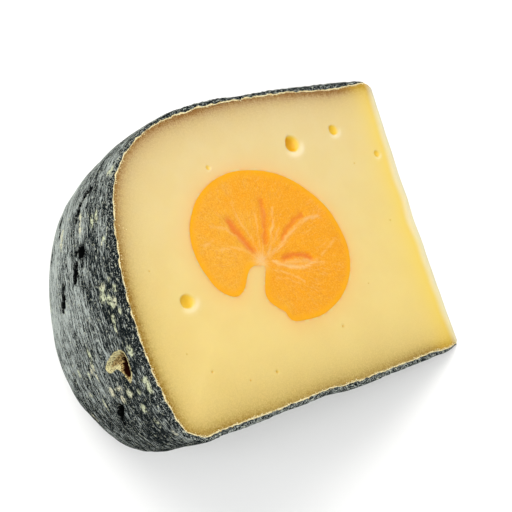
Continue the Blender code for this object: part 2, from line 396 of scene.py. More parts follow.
def new_material(name):
    """A material, its node tree and its Principled shader."""
    material = bpy.data.materials.new(name)
    material.use_nodes = True
    return material, material.node_tree, material.node_tree.nodes["Principled BSDF"]


print("Mid grey in linear light:", [round(c, 3) for c in linear("#808080")])

# %% [markdown]
# ## Patterns, amounts and layers
#
# A finish is built like paint: a ground colour, then layers that each show somewhere. Where a
# layer shows is an amount from 0 to 1. It comes from an attribute of the mesh or from a noise
# pattern, often over a part of its range only. A range is written as the output, where it starts
# and ends, and the two amounts there if they aren't 0 and 1.

# %% Helpers for materials
def attribute_parts(tree, name):
    """The three numbers of an attribute that a mesh carries."""
    vector = add_node(tree, "ShaderNodeAttribute", {"attribute_name": name}, (), "Vector")
    return add_node(tree, "ShaderNodeSeparateXYZ", None, (vector,)).node.outputs


def waves(tree, vector, lengths, detail=3.0, roughness=0.6, distortion=0.0):
    """Noise whose waves have these three lengths in the vector's own units."""
    stretched = add_node(tree, "ShaderNodeMapping", {"vector_type": "POINT"}, {
        "Vector": vector, "Scale": tuple(1 / length for length in lengths),
    })
    return add_node(tree, "ShaderNodeTexNoise", None, {
        "Vector": stretched, "Scale": 1.0, "Detail": detail, "Roughness": roughness,
        "Distortion": distortion,
    })


def amount_of(tree, *factors):
    """The product of outputs, each of them as it is or as a range that fades smoothly in."""
    product = None
    for factor in factors:
        if isinstance(factor, tuple):
            factor = add_node(
                tree, "ShaderNodeMapRange", {"interpolation_type": "SMOOTHSTEP"}, factor
            )
        if product is not None:
            factor = add_node(tree, "ShaderNodeMath", {"operation": "MULTIPLY"}, (product, factor))
        product = factor
    return product


def weighted_sum(tree, *pairs):
    """The sum of values that each have a weight."""
    total = 0.0
    for value, weight in pairs:
        total = add_node(
            tree, "ShaderNodeMath", {"operation": "MULTIPLY_ADD"}, (value, weight, total)
        )
    return total


def layered(tree, ground, *layers):
    """Lays colours over a ground colour, each given as where it shows and what it is."""
    for where, colour in layers:
        colour = linear(colour) if isinstance(colour, str) else colour
        ground = add_node(
            tree, "ShaderNodeMix", {"data_type": "RGBA"},
            {0: amount_of(tree, where), 6: ground, 7: colour},
        )
    return ground

# %% [markdown]
# ## Paste: pressed cow's milk cheese
#
# The paste is a smooth, close curd that a wire or knife has cut. Light goes a few millimetres into
# it before it comes out again, which is why it glows and has no hard shading: that is subsurface
# scattering. It is dry and tan under the rind and peach beside the fruit. Near the thin tip a
# clearer yellow is painted light, the glow of light that comes through the thin cheese, and the worn
# edge carries a painted highlight. The eyes and pinholes carry painted shade, and the eyes' lower
# lips a painted highlight. Those changes follow the cut's borders, so the mesh carries them as
# attributes.

# %% Paste material
PASTE_GRAIN = 0.35
PASTE_CLOUD = 9.0
TONE_AND_SHADE_HEIGHTS = (36.0, -22.0)
paste_material, tree, shader = new_material("pressed_curd_cut_with_a_wire")
position = add_node(tree, "ShaderNodeTexCoord", None, (), "Object")
near_rind, near_fruit, painted_tip_glow = attribute_parts(tree, "borders")
eye_painted_shade, on_lip, pinhole_painted_shade = attribute_parts(tree, "marks")
grain = waves(tree, position, (PASTE_GRAIN * MM,) * 3, 2.0, 0.6)
cloud = waves(tree, position, (PASTE_CLOUD * MM,) * 3, 3.0, 0.5)
up_the_wheel = add_node(tree, "ShaderNodeSeparateXYZ", None, (position,), "Y")
# Painted shade: the top of the face is a little darker than the base, which evens out the key light
# that falls brightest on the top. Towards the base the paste and its crust also turn yellower.
tone_and_shade_by_height = amount_of(tree, (up_the_wheel, TONE_AND_SHADE_HEIGHTS[0] * MM, TONE_AND_SHADE_HEIGHTS[1] * MM))
crust = layered(
    tree, layered(tree, linear("#976F3C"), (tone_and_shade_by_height, "#95761E")),
    ((near_rind, 0.6, 0.95), layered(tree, linear("#8A5E22"), (tone_and_shade_by_height, "#8E6A0C"))),
    ((painted_tip_glow, 0.05, 0.5, 0.0, 0.85), "#BD9412"),
)
colour = layered(
    tree, linear("#DCC78F"),
    (tone_and_shade_by_height, "#E3CB80"),
    ((cloud, 0.35, 0.68, 0.0, 0.16), "#D6B66B"),
    # painted light: a clearer yellow near the thin tip for light coming through it; the crust near the
    # tip gets it too
    (painted_tip_glow, "#E9CB52"),
    (near_fruit, "#F2AC60"),
    (amount_of(tree, near_rind, (grain, 0.2, 0.75, 0.62, 1.25)), crust),
    # painted shade: a deeper, darker yellow inside the eyes
    ((eye_painted_shade, 0.0, 0.6), "#E2BC32"),
    ((eye_painted_shade, 0.6, 1.0), "#DBA207"),
    # painted highlight on the eyes' lit lower lips and along the worn tip
    (on_lip, "#F1E4BF"),
    # painted shade in the pinholes
    (pinhole_painted_shade, "#CFA93A"),
)
fill(tree, shader, {
    "Base Color": colour,
    "Roughness": 0.46,
    "Specular IOR Level": 0.35,
    "Subsurface Weight": 0.55,
    "Subsurface Radius": (1.0, 0.72, 0.32),
    "Subsurface Scale": 3.0 * MM,
    "Normal": add_node(tree, "ShaderNodeBump", None, {
        "Strength": 0.25, "Distance": 0.05 * MM, "Height": grain,
    }),
})
print("Made material", paste_material.name)

# %% [markdown]
# ## Rind: brushed and powdered with ash
#
# The rind is a dry skin, rubbed with ash and brushed while it ages, so the dark powder lies in
# streaks that run up the side wall. Where the knife went through, the powder is crushed to grains.
# The streaks follow the wheel, so the patterns read an attribute that holds millimetres round the
# wheel, along the section and into the rind. The finest grains are drawn a little coarser than
# ash is, so that they show.

# %% Rind patterns
STREAK = (0.34, 1.9, 0.34)
LONG_STREAK = (0.8, 6.5, 0.8)
PATCH = (5.0, 11.0, 5.0)
SPECK = (0.3, 0.42, 0.3)
BLOOM_GRAIN = (0.75, 1.1, 0.75)
BLOOM_CLOUD = (6.0, 6.0, 6.0)
TUFT_PATCH = (3.2, 4.5, 3.2)
rind_material, tree, shader = new_material("ash_rubbed_rind")
wheel = add_node(tree, "ShaderNodeAttribute", {"attribute_name": "wheel_mm"}, (), "Vector")
into_rind = attribute_parts(tree, "wheel_mm")["Z"]
in_bloom, pit_painted_shade, crater_and_shade = attribute_parts(tree, "growth")
on_band, on_line, powder_and_painted_light = attribute_parts(tree, "cut")
streaks = waves(tree, wheel, STREAK, 2.0, 0.6, 0.35)
long_streaks = waves(tree, wheel, LONG_STREAK, 3.0, 0.6, 0.2)
patches = waves(tree, wheel, PATCH, 3.0, 0.55)
specks = waves(tree, wheel, SPECK, 2.0, 0.7)
bloom_grain = waves(tree, wheel, BLOOM_GRAIN, 2.0)
bloom_cloud = waves(tree, wheel, BLOOM_CLOUD, 1.0)
tuft_patches = waves(tree, wheel, TUFT_PATCH, 1.0)
# Paler further round from the cut and on the shoulder: partly powder, partly painted sheen; darker low
# on the wall: painted shade
powder = weighted_sum(
    tree, (streaks, 1.0), (long_streaks, 0.65), (patches, 0.5), (specks, 0.45), (powder_and_painted_light, 0.14)
)
grains = weighted_sum(tree, (specks, 1.75), (bloom_grain, 0.85))
crushed = amount_of(tree, (into_rind, 0.02, 0.3))
to_grains = weighted_sum(tree, (grains, 1.0), (powder, -1.0))
powder = weighted_sum(tree, (powder, 1.0), (to_grains, crushed), (on_band, -0.14))
clumps = amount_of(tree, on_line, (bloom_grain, 0.45, 0.62, 0.0, 0.4))
dusted = weighted_sum(tree, (clumps, 1.0), (specks, 1.0), (on_band, -0.06))
print("The rind mixes", len([node for node in tree.nodes if "Noise" in node.name]), "patterns")

# %% [markdown]
# ## The rind's colours
#
# The ground is nearly black, and the ash over it is grey with pale grains where it lies thick. On
# top grow tufts and cream blooms, and the broken crater shows dry brown crust, with painted shade
# at its deep bottom. The pits are black with painted shade, and pale crumbs cling to the cut line.
# Nothing on it shines: the surface is rough and matt with no gloss at all.

# %% Rind colours
bloom_colour = layered(
    tree, linear("#C6CBAA"), ((bloom_cloud, 0.5, 0.66), "#D4D0B4"), ((specks, 0.5, 0.35), "#77755A")
)
colour = layered(
    tree, linear("#12181A"),
    ((powder, 1.195, 1.485), "#A2A9A4"),
    ((powder, 1.46, 1.74, 0.0, 0.75), "#C6CCC6"),
    (amount_of(tree, (bloom_grain, 0.60, 0.66), (tuft_patches, 0.45, 0.6, 0.1, 0.75)), "#B9BCA6"),
    ((dusted, 0.60, 0.69, 0.0, 0.85), "#C9CBBB"),
    (amount_of(tree, in_bloom, (bloom_grain, 0.38, 0.55)), bloom_colour),
    ((crater_and_shade, 0.1, 0.3), layered(tree, linear("#54492F"), ((specks, 0.37, 0.53), "#CDC391"))),
    ((crater_and_shade, 0.4, 0.6), layered(tree, linear("#2E1C10"), ((specks, 0.39, 0.62), "#B59C66"))),
    # painted shade at the crater's deep bottom
    ((crater_and_shade, 0.75, 0.95), "#1C0804"),
    # painted shade: the pits are painted black
    (pit_painted_shade, "#050606"),
    (amount_of(tree, (on_line, 0.35, 0.8), (specks, 0.38, 0.48, 0.5, 1.0)), "#F0E3B4"),
)
height = weighted_sum(tree, (streaks, 1.0), (specks, 0.5))
fill(tree, shader, {
    "Base Color": colour,
    "Roughness": 0.95,
    "Specular IOR Level": 0.0,
    "Normal": add_node(tree, "ShaderNodeBump", None, {
        "Strength": 0.9, "Distance": 0.2 * MM, "Height": height,
    }),
})
print("Made material", rind_material.name)

# %% [markdown]
# ## Fruit: ripe flesh, sliced
#
# The core is soft orange fruit with fine fibres that run out from its middle. Light goes less deep
# into it than into the cheese, so its pulp and small creases still show, with a soft shine. Deep
# orange along the seed pockets is painted shade, and so is darker orange in the creases; it is pale
# where the fibres meet. The fibres are noise in polar coordinates, which the mesh carries. Pulp and
# creases are drawn coarse enough to show.

# %% Fruit material
FIBRE = (0.06, 0.06, 8.0)
PULP = 0.42
WRINKLE = 1.7
FRUIT_CLOUD = 6.0
fruit_material, tree, shader = new_material("ripe_fruit_flesh_sliced")
position = add_node(tree, "ShaderNodeTexCoord", None, (), "Object")
polar = add_node(tree, "ShaderNodeAttribute", {"attribute_name": "polar"}, (), "Vector")
side_on = attribute_parts(tree, "polar")["X"]
near_skin, pocket_painted_shade, on_pale = attribute_parts(tree, "flesh")
fibres = waves(tree, polar, FIBRE, 3.0, 0.6, 0.6)
pulp = waves(tree, position, (PULP * MM,) * 3, 3.0, 0.7)
cloud = waves(tree, position, (FRUIT_CLOUD * MM,) * 3, 2.0, 0.5)
creases = waves(tree, position, (WRINKLE * MM,) * 3, 3.0, 0.6, 1.2)
from_fibre, from_crease = (
    add_node(tree, "ShaderNodeMath", {"operation": "ABSOLUTE"}, (
        weighted_sum(tree, (pattern, 1.0), (-0.5, 1.0)),
    ))
    for pattern in (fibres, creases)
)
in_places = amount_of(tree, (cloud, 0.42, 0.6, 0.25, 1.0))
colour = layered(
    tree, linear("#EC9D00"),
    ((weighted_sum(tree, (cloud, 1.0), (side_on, 0.25)), 0.3, 0.85), "#E9A62A"),
    ((pulp, 0.5, 0.62, 0.0, 0.45), "#F2B546"),
    ((pulp, 0.47, 0.36, 0.0, 0.55), "#DF8C0A"),
    # painted shade: darker orange in the creases
    (amount_of(tree, (from_crease, 0.0, 0.022, 0.5, 0.0), in_places), "#CF7606"),
    (amount_of(tree, (from_fibre, 0.0, 0.035, 0.35, 0.0), in_places), "#EDB566"),
    (near_skin, "#F0A600"),
    # painted shade in deep orange along the seed pockets
    ((pocket_painted_shade, 0.0, 1.0, 0.0, 0.8), "#E0641A"),
    (amount_of(tree, on_pale, (fibres, 0.38, 0.6, 0.3, 0.9)), "#F0CF98"),
)
height = weighted_sum(
    tree, (fibres, 0.7), (pulp, 0.6), (amount_of(tree, (from_crease, 0.0, 0.05)), 0.35)
)
fill(tree, shader, {
    "Base Color": colour,
    "Roughness": 0.5,
    "Specular IOR Level": 0.2,
    "Subsurface Weight": 0.25,
    "Subsurface Radius": (1.0, 0.45, 0.12),
    "Subsurface Scale": 0.8 * MM,
    "Normal": add_node(tree, "ShaderNodeBump", None, {
        "Strength": 0.8, "Distance": 0.16 * MM, "Height": height,
    }),
})
print("Made material", fruit_material.name)

# %% [markdown]
# ## The rind's outer surface, swept by Geometry Nodes
#
# A wheel's wall follows a rule: one section, turned round an axis. A Screw modifier would turn it,
# but it can't drift from one section into another on the way. So a small tree lays a grid, reads
# the two sections row by row, mixes them by azimuth and turns each column round the axis. The
# columns are closer together beside the visible cut.

# %% Sweep the rind
COLUMNS = 200
COLUMN_CROWDING = 0.35


def sweep_tree():
    """Grid columns become azimuths and grid rows become rows of the two sections."""
    tree, given = new_geometry_tree("rind_sweep", {
        "Rows": ("Int", 10),
        "Columns": ("Int", 10),
        "Crowding": ("Float", 0.3),
        "Wedge Angle": ("Float", 1.0),
        "Drift Angle": ("Float", 0.5),
        "Axis Foot": ("Vector", None),
        "Rind Material": ("Material", None),
    })
    rows, columns, crowding = given["Rows"], given["Columns"], given["Crowding"]
    grid = add_node(tree, "GeometryNodeMeshGrid", None, {
        "Size X": 1.0, "Size Y": 1.0, "Vertices X": columns, "Vertices Y": rows,
    })
    index = add_node(tree, "GeometryNodeInputIndex")
    column = add_node(tree, "ShaderNodeMath", {"operation": "DIVIDE"}, (index, rows))
    column = add_node(tree, "ShaderNodeMath", {"operation": "FLOOR"}, (column,))
    row = add_node(tree, "ShaderNodeMath", {"operation": "MODULO"}, (index, rows))
    later_row = add_node(tree, "ShaderNodeMath", {"operation": "ADD"}, (row, rows))
    last = add_node(tree, "ShaderNodeMath", {"operation": "SUBTRACT"}, (columns, 1.0))
    share = add_node(tree, "ShaderNodeMath", {"operation": "DIVIDE"}, (column, last))
    even = add_node(tree, "ShaderNodeMath", {"operation": "SUBTRACT"}, (1.0, crowding))
    crowded = weighted_sum(tree, (even, 1.0), (share, crowding))
    azimuth = amount_of(tree, share, crowded, given["Wedge Angle"])

    spot = add_node(tree, "GeometryNodeInputPosition")
    first, second = (
        add_node(tree, "GeometryNodeSampleIndex", {"data_type": "FLOAT_VECTOR"}, {
            "Geometry": given["Geometry"], "Value": spot, "Index": number,
        })
        for number in (row, later_row)
    )
    section = add_node(tree, "ShaderNodeMix", {"data_type": "VECTOR"}, {
        "Factor": amount_of(tree, (azimuth, 0.0, given["Drift Angle"])), "A": first, "B": second,
    })
    turn = add_node(
        tree, "ShaderNodeMath", {"operation": "SUBTRACT"}, (given["Wedge Angle"], azimuth)
    )
    turned = add_node(tree, "ShaderNodeVectorRotate", {"rotation_type": "Y_AXIS"}, {
        "Vector": section, "Angle": turn,
    })
    placed = add_node(
        tree, "ShaderNodeVectorMath", {"operation": "ADD"}, (turned, given["Axis Foot"])
    )
    swept = add_node(tree, "GeometryNodeSetPosition", None, {
        "Geometry": grid, "Position": placed,
    })
    return end_tree(tree, swept, given["Rind Material"])


guide = bpy.data.meshes.new("two_sections")
both = np.vstack([rows_at_cut, rows_around]) * MM
guide.from_pydata([(-r, h, 0.0) for r, h in both], [], [])
swept_mesh = run_tree("rind_guide", guide, sweep_tree(), {
    "Rows": ROWS,
    "Columns": COLUMNS,
    "Crowding": COLUMN_CROWDING,
    "Wedge Angle": WEDGE_ANGLE,
    "Drift Angle": DRIFT_ANGLE,
    "Axis Foot": tuple(AXIS_FOOT),
    "Rind Material": rind_material,
})
skin = np.zeros(len(swept_mesh.vertices) * 3)
swept_mesh.vertices.foreach_get("co", skin)
skin = skin.reshape(COLUMNS, ROWS, 3)
share = np.linspace(0.0, 1.0, COLUMNS)
column_azimuth = WEDGE_ANGLE * share * (1.0 - COLUMN_CROWDING + COLUMN_CROWDING * share)
print("Swept skin:", COLUMNS, "columns of", ROWS, "rows; corner", skin[0, 0], skin[-1, -1])

# %% [markdown]
# ## Relief in the rind
#
# A real rind is never smooth: it swells and sags slowly over a centimetre, is lumpy over a few
# millimetres, and has pits and cracks where the skin opened. Bump shading would vanish at the
# silhouette, so this relief moves the mesh. The marks are listed: a pit is an ellipse with a
# depth, a crack is a row of pits, and a bloom is an ellipse without depth, kept as a mask. The
# first two numbers of each are degrees behind the cut and millimetres along the section.

# %% Pits, crater and blooms
RIND_SWELL = 0.35
RIND_SWELL_LENGTH = 11.0
RIND_LUMP = 0.2
RIND_LUMP_LENGTH = 4.5
RIND_PITS = (
    (7.3, 152.4, 2.2, 1.8, 1.2), (7.0, 150.6, 0.7, 1.3, 0.8), (7.4, 149.2, 0.5, 1.0, 0.6),
    (9.3, 152.7, 0.9, 0.9, 0.8), (9.6, 149.8, 1.4, 1.0, 0.8), (10.0, 148.0, 1.5, 1.2, 0.9),
    (10.3, 146.2, 1.0, 1.0, 0.8), (15.0, 146.3, 1.0, 1.1, 0.7), (15.7, 144.0, 1.4, 1.2, 0.8),
    (16.2, 142.2, 1.7, 1.1, 0.9), (16.6, 140.8, 0.9, 0.8, 0.7), (5.6, 167.5, 1.3, 0.6, 0.7),
    (6.6, 167.1, 1.2, 0.7, 0.8), (7.4, 166.2, 1.2, 1.0, 0.9), (8.1, 164.9, 1.3, 1.2, 1.0),
    (8.6, 163.0, 1.2, 1.3, 0.9), (9.2, 161.2, 0.9, 1.1, 0.8), (19.0, 164.6, 0.9, 2.0, 0.8),
    (18.0, 160.7, 0.9, 1.4, 0.7), (8.9, 113.6, 1.2, 1.0, 0.9), (9.6, 112.4, 1.5, 1.0, 1.1),
    (10.3, 111.2, 1.2, 0.9, 0.9), (10.7, 109.8, 0.7, 1.0, 0.6), (22.5, 156.0, 1.3, 1.6, 1.0),
    (29.0, 133.0, 1.2, 1.8, 1.1), (35.0, 117.0, 1.3, 1.2, 1.0), (37.5, 151.0, 1.0, 1.5, 1.1),
    (31.0, 170.0, 0.8, 1.5, 0.9),
)
CRATER_EDGE = (
    (7.8, 123.5), (6.7, 124.9), (5.1, 126.0), (3.6, 126.6), (2.4, 126.2), (1.9, 124.6),
    (2.0, 122.4), (2.3, 120.1), (3.3, 118.7), (3.8, 120.2), (4.2, 121.6), (5.2, 122.6),
    (7.1, 122.3),
)
CRATER_DEEP = (
    (2.9, 125.7), (2.3, 124.4), (2.4, 122.4), (2.7, 120.3), (3.4, 119.8), (4.0, 121.5),
    (4.0, 123.8),
)
RIND_BLOOMS = (
    (2.8, 141.4, 1.4, 1.4), (3.2, 139.3, 1.5, 1.3), (1.9, 138.3, 1.4, 1.2), (0.8, 137.6, 0.9, 1.2),
    (1.4, 136.8, 1.2, 0.9), (2.2, 133.6, 0.9, 1.3), (2.4, 131.4, 0.5, 1.4), (0.9, 125.9, 1.3, 1.2),
    (0.8, 124.5, 0.7, 0.9), (11.1, 128.0, 0.8, 1.8), (11.6, 125.0, 1.0, 1.2), (12.5, 124.0, 0.8, 1.1),
    (13.8, 123.2, 0.7, 1.1), (11.6, 122.0, 0.6, 1.2), (17.6, 124.4, 0.9, 1.1), (9.3, 117.7, 1.2, 1.4),
    (6.9, 117.7, 1.2, 1.1), (4.9, 116.2, 1.3, 1.2), (7.3, 115.2, 1.1, 1.2), (13.5, 115.0, 0.7, 1.8),
    (0.1, 117.5, 1.4, 1.5), (0.1, 115.8, 1.0, 1.1), (2.5, 115.9, 0.7, 0.8), (3.3, 111.8, 1.1, 1.2),
    (2.2, 108.1, 0.8, 0.8), (0.6, 103.8, 0.8, 0.9), (7.6, 160.8, 0.8, 1.5), (7.7, 158.0, 0.9, 1.9),
    (4.0, 158.3, 0.8, 1.8), (2.7, 159.0, 0.9, 1.7), (16.5, 160.4, 1.2, 1.4), (15.9, 157.6, 1.4, 2.0),
    (0.9, 152.6, 0.9, 0.7), (0.4, 169.4, 1.6, 1.3), (1.6, 151.7, 0.5, 0.5), (1.0, 142.8, 0.7, 0.6),
    (0.3, 135.2, 0.6, 1.1), (0.2, 140.3, 0.8, 1.0), (17.0, 118.3, 0.7, 0.9), (27.0, 145.0, 1.4, 2.0),
    (28.3, 143.4, 0.9, 1.2), (33.0, 128.0, 1.2, 1.6), (40.0, 139.0, 1.3, 2.0), (38.6, 137.0, 0.8, 1.1),
    (24.0, 112.0, 1.0, 1.4),
)
PIT_RAGGEDNESS = 0.32
PIT_RAG_LENGTHS = (0.7, 1.4)
PIT_ROUNDNESS = 0.6
PIT_RIM = 0.08
HOLLOW_RAGGEDNESS = 0.25
HOLLOW_RAG_LENGTH = 0.9
CRATER_REACH = 12.0
CRATER_DISH = 0.7
CRATER_SLOT = 1.7
CRATER_LIP = 0.3
print(len(RIND_PITS), "pits and", len(RIND_BLOOMS), "blooms")

# %% [markdown]
# ## Pressing the relief into the skin
#
# Each point of the skin knows how far round and how far along the section it lies, so a mark's
# place is compared with it there. All the depths are added up first, and the skin moves once.

# %% Press the relief into the skin
from_axis_foot = (skin - AXIS_FOOT) / MM
radius_mm = np.hypot(from_axis_foot[..., 0], from_axis_foot[..., 2])
around_mm = column_azimuth[:, None] * radius_mm
along_mm = np.broadcast_to(row_length, around_mm.shape)

down_rows = np.gradient(skin, axis=1)
down_columns = np.gradient(skin, axis=0)
skin_outward = np.cross(down_rows, down_columns)
skin_outward /= np.linalg.norm(skin_outward, axis=-1)[..., None]


def skin_ripple(length_around, length_along, seed):
    """Noise over the skin, with its own wave length each way."""
    stretched = np.stack([around_mm / length_around, along_mm / length_along], axis=-1)
    return ripple(stretched.reshape(-1, 2), 1.0, seed).reshape(around_mm.shape)


def ellipse_distance(azimuth_degrees, along, half_width, half_length):
    """Distance from an ellipse's middle on the skin, where 1 is its ragged border."""
    across = (column_azimuth[:, None] - math.radians(azimuth_degrees)) * radius_mm / half_width
    return np.hypot(across, (along_mm - along) / half_length) * ragged


def depth_inside(outline):
    """How far each point of the skin lies inside an outline, in mm; outside it is below zero."""
    loop = smooth_loop([(math.radians(a) * crater_radius, along) for a, along in outline], 4)
    spots = np.column_stack([around_mm[near_crater], along_mm[near_crater]])
    depth = distance_to(spots, loop) * np.where(inside(spots, loop), 1.0, -1.0)
    found = np.full_like(relief, -CRATER_REACH)
    found[near_crater] = depth + HOLLOW_RAGGEDNESS * ripple(spots, HOLLOW_RAG_LENGTH, 2.0)
    return found


ragged = 1.0 + PIT_RAGGEDNESS * skin_ripple(*PIT_RAG_LENGTHS, 4.0)
swell = ripple(from_axis_foot.reshape(-1, 3), RIND_SWELL_LENGTH).reshape(around_mm.shape)
relief = RIND_SWELL * swell + RIND_LUMP * skin_ripple(RIND_LUMP_LENGTH, 1.6 * RIND_LUMP_LENGTH, 9.0)
pit_painted_shade_mask = np.zeros_like(relief)
bloom_mask = np.zeros_like(relief)
for *ellipse, depth in RIND_PITS:
    distance = ellipse_distance(*ellipse)
    relief -= depth * np.clip(1.0 - distance**2, 0.0, 1.0) ** PIT_ROUNDNESS
    relief += PIT_RIM * np.exp(-((distance - 1.2) / 0.2) ** 2)
    # Where each pit is painted black as shade
    pit_painted_shade_mask = np.maximum(pit_painted_shade_mask, 1.0 - eased(distance, 1.0, 1.25))
for ellipse in RIND_BLOOMS:
    bloom_mask = np.maximum(bloom_mask, 1.0 - eased(ellipse_distance(*ellipse), 0.6, 1.15))

crater_middle = np.mean(CRATER_EDGE, axis=0)
crater_radius = float(np.interp(crater_middle[1], row_length, radius_mm[0]))
crater_around = math.radians(crater_middle[0]) * crater_radius
near_crater = np.hypot(around_mm - crater_around, along_mm - crater_middle[1]) < CRATER_REACH
in_dish = depth_inside(CRATER_EDGE)
in_slot = depth_inside(CRATER_DEEP)
relief -= CRATER_DISH * eased(in_dish, 0.2, 1.6) + CRATER_SLOT * eased(in_slot, -0.3, 0.5)
relief += CRATER_LIP * np.exp(-(in_dish / 0.4) ** 2)
# The mask is about a third on the crust, two thirds inside and 1 at the deep bottom, which carries
# painted shade
crater_and_shade_mask = 0.35 * eased(in_dish, -0.4, 0.1) + 0.3 * eased(in_dish, 0.6, 1.3)
crater_and_shade_mask = np.maximum(crater_and_shade_mask, eased(in_slot, -0.6, 0.0))
print("Relief from", round(relief.min(), 2), "to", round(relief.max(), 2), "mm")

# %% [markdown]
# ## The rind's thickness and its crumbled cut
#
# The knife shows how thick the rind is: 1 to 2 mm on the base, shoulder and top, and up to 3 mm on
# the side wall. Dry rind crumbles where it is cut, so both borders of this dark band wander, and
# the band itself is rough. Its inner border is a thin line of pale crumbs pressed against paste.
# The table below gives the thickness at lengths along the section.

# %% Thickness along the section
THICKNESS_AT = (
    (0.0, 0.5), (2.0, 0.9), (5.0, 1.2), (12.0, 1.6), (40.0, 1.7), (60.0, 1.6), (70.0, 1.4),
    (85.0, 1.6), (96.0, 1.6), (102.0, 1.8), (108.0, 2.7), (120.0, 2.7), (130.0, 3.0), (140.0, 2.8),
    (150.0, 2.6), (158.0, 2.2), (165.0, 1.8), (175.0, 1.4), (188.0, 1.3), (198.0, 1.4), (206.0, 1.4),
    (216.0, 1.1), (228.0, 1.3), (240.0, 1.6), (252.0, 1.9), (258.0, 1.7), (265.0, 1.1),
    (268.0, 0.3), (270.0, 0.3),
)
BAND_SHARES = np.array((0.0, 0.1, 0.2, 0.32, 0.5, 0.75))
BAND_ROUGHNESS = 0.14
BORDER_WANDER = 0.4
LEAST_WANDER = -0.4
WANDER_LENGTHS = (4.6, 1.6)
BAND_GRAIN = 0.8
EDGE_CHIP = 0.4
EDGE_CHIP_REACH = 0.6
EDGE_CHIP_LENGTHS = (9.0, 0.9)
EDGE_CHIP_SHARE = 0.25
HIDDEN_SHARES = np.array((0.6, 0.0))
INNER_COLUMNS = 9


def read_off(table, lengths):
    """What a table of (length along the section, value) says at these lengths."""
    return np.interp(lengths, *np.array(table).T)


def thickness(lengths):
    return read_off(THICKNESS_AT, lengths)


def inner_outline(outer, lengths, inset):
    return outer - outward_of(outer) * inset[:, None]


def mixed_rows(azimuth, rows_cut, rows_far):
    drift = eased(azimuth, 0.0, DRIFT_ANGLE)
    return rows_cut * (1.0 - drift) + rows_far * drift


chips = np.clip(skin_ripple(*EDGE_CHIP_LENGTHS, 2.0) + EDGE_CHIP_SHARE, 0.0, 1.0)
relief -= EDGE_CHIP * chips * np.exp(-around_mm / EDGE_CHIP_REACH)
skin = skin + skin_outward * (relief * MM)[..., None]
row_points = np.column_stack([row_length, np.zeros(ROWS)])
slow_wander = ripple(row_points, WANDER_LENGTHS[0], 1.0)
quick_wander = ripple(row_points, WANDER_LENGTHS[1], 6.0)
wander = np.maximum(BORDER_WANDER * (slow_wander + 0.7 * quick_wander), LEAST_WANDER)
inner_at_cut = inner_outline(rows_at_cut, row_length, thickness(row_length) + wander)
inner_around = inner_outline(rows_around, row_length, thickness(row_length))


def band_columns(inner, outer, shares, roughness, outward, seed):
    """Columns across the cut rind, from its inner line outwards, roughened on the cut."""
    columns = []
    for number, share in enumerate(shares):
        rough = ripple(row_points, BAND_GRAIN, seed + 5.0 * number)
        column = inner + (outer - inner) * share
        columns.append(column + outward * (rough * roughness * MM)[:, None])
    return np.array(columns)


inner_cut_edge = places(inner_at_cut[:, 0], 0.0, inner_at_cut[:, 1])
inner_far_edge = places(inner_around[:, 0], WEDGE_ANGLE, inner_around[:, 1])
cut_band = band_columns(inner_cut_edge, skin[0], BAND_SHARES, BAND_ROUGHNESS, FACE_OUTWARD, 20.0)
far_band = band_columns(inner_far_edge, skin[-1], HIDDEN_SHARES, 0.0, FACE_OUTWARD, 60.0)
inner_wall = []
for azimuth in np.linspace(WEDGE_ANGLE, 0.0, INNER_COLUMNS + 2)[1:-1]:
    outer = mixed_rows(azimuth, rows_at_cut, rows_around)
    inner = inner_outline(outer, row_length, thickness(row_length))
    inner_wall.append(places(inner[:, 0], azimuth, inner[:, 1]))
print("Band columns", len(cut_band), "and inner columns", len(inner_wall))

# %% [markdown]
# ## What the rind's material has to know
#
# The band, the skin and what is hidden lie side by side as columns, so an attribute is laid out
# in the same way, column by column. Three of them say where each point lies on the wheel, what
# grows or opens there, and how the cut and the brushing changed the powder. The last also holds
# painted light: the skin is paler further round from the cut and on the shoulder, partly powder and
# partly painted sheen, and darker low on the wall, which is painted shade. The tables of darkness
# follow the section, like the thickness.

# %% Lay out the attributes
LINE_WIDTH = 0.3
LINE_UNEVENNESS = 0.35
LINE_FADE = (0.6, 1.4)
DARK_BESIDE_CUT = 21.0
SHEEN_AND_POWDER_AROUND = (4.0, 50.0)
SHEEN_AND_POWDER_ALONG = (105.0, 150.0)
SHOULDER_FROM = (162.0, 172.0)
SHOULDER_LIGHT_AND_POWDER_AROUND = (12.0, 25.0)
SHOULDER_LIGHT_AND_POWDER = 0.3
LOW_WALL = (90.0, 98.0, 110.0, 128.0)
LOW_WALL_SHADE_AROUND = (2.0, 8.0)
LOW_WALL_PAINTED_SHADE = 0.6
LEAST_FORESHORTENING = 0.45
DUST = 0.3
DUST_REACH = 1.6
DUSTY_FROM = (118.0, 140.0)
SHEEN_AND_POWDER_OUT_OF_SIGHT = 0.5
BAND_DARKNESS_AT = (
    (0.0, 0.35), (95.0, 0.3), (106.0, 0.8), (120.0, 0.9), (132.0, 1.3), (145.0, 1.2), (156.0, 1.0),
    (164.0, 0.6), (172.0, 0.5), (190.0, 0.8), (230.0, 0.9), (270.0, 0.6),
)
SKIN_DARKNESS_AT = (
    (0.0, 0.3), (95.0, 0.3), (106.0, 0.5), (120.0, 0.5), (132.0, 0.85), (142.0, 0.88), (150.0, 0.6),
    (157.0, 0.25), (170.0, 0.1), (270.0, 0.0),
)


def ring_values(*numbers):
    """An attribute's three numbers, each given for the cut band, the skin and what is hidden."""
    counts = (len(cut_band), COLUMNS, len(far_band) + len(inner_wall))
    return np.stack([
        np.concatenate([np.broadcast_to(part, (count, ROWS)) for part, count in zip(parts, counts)])
        for parts in numbers
    ], axis=-1)


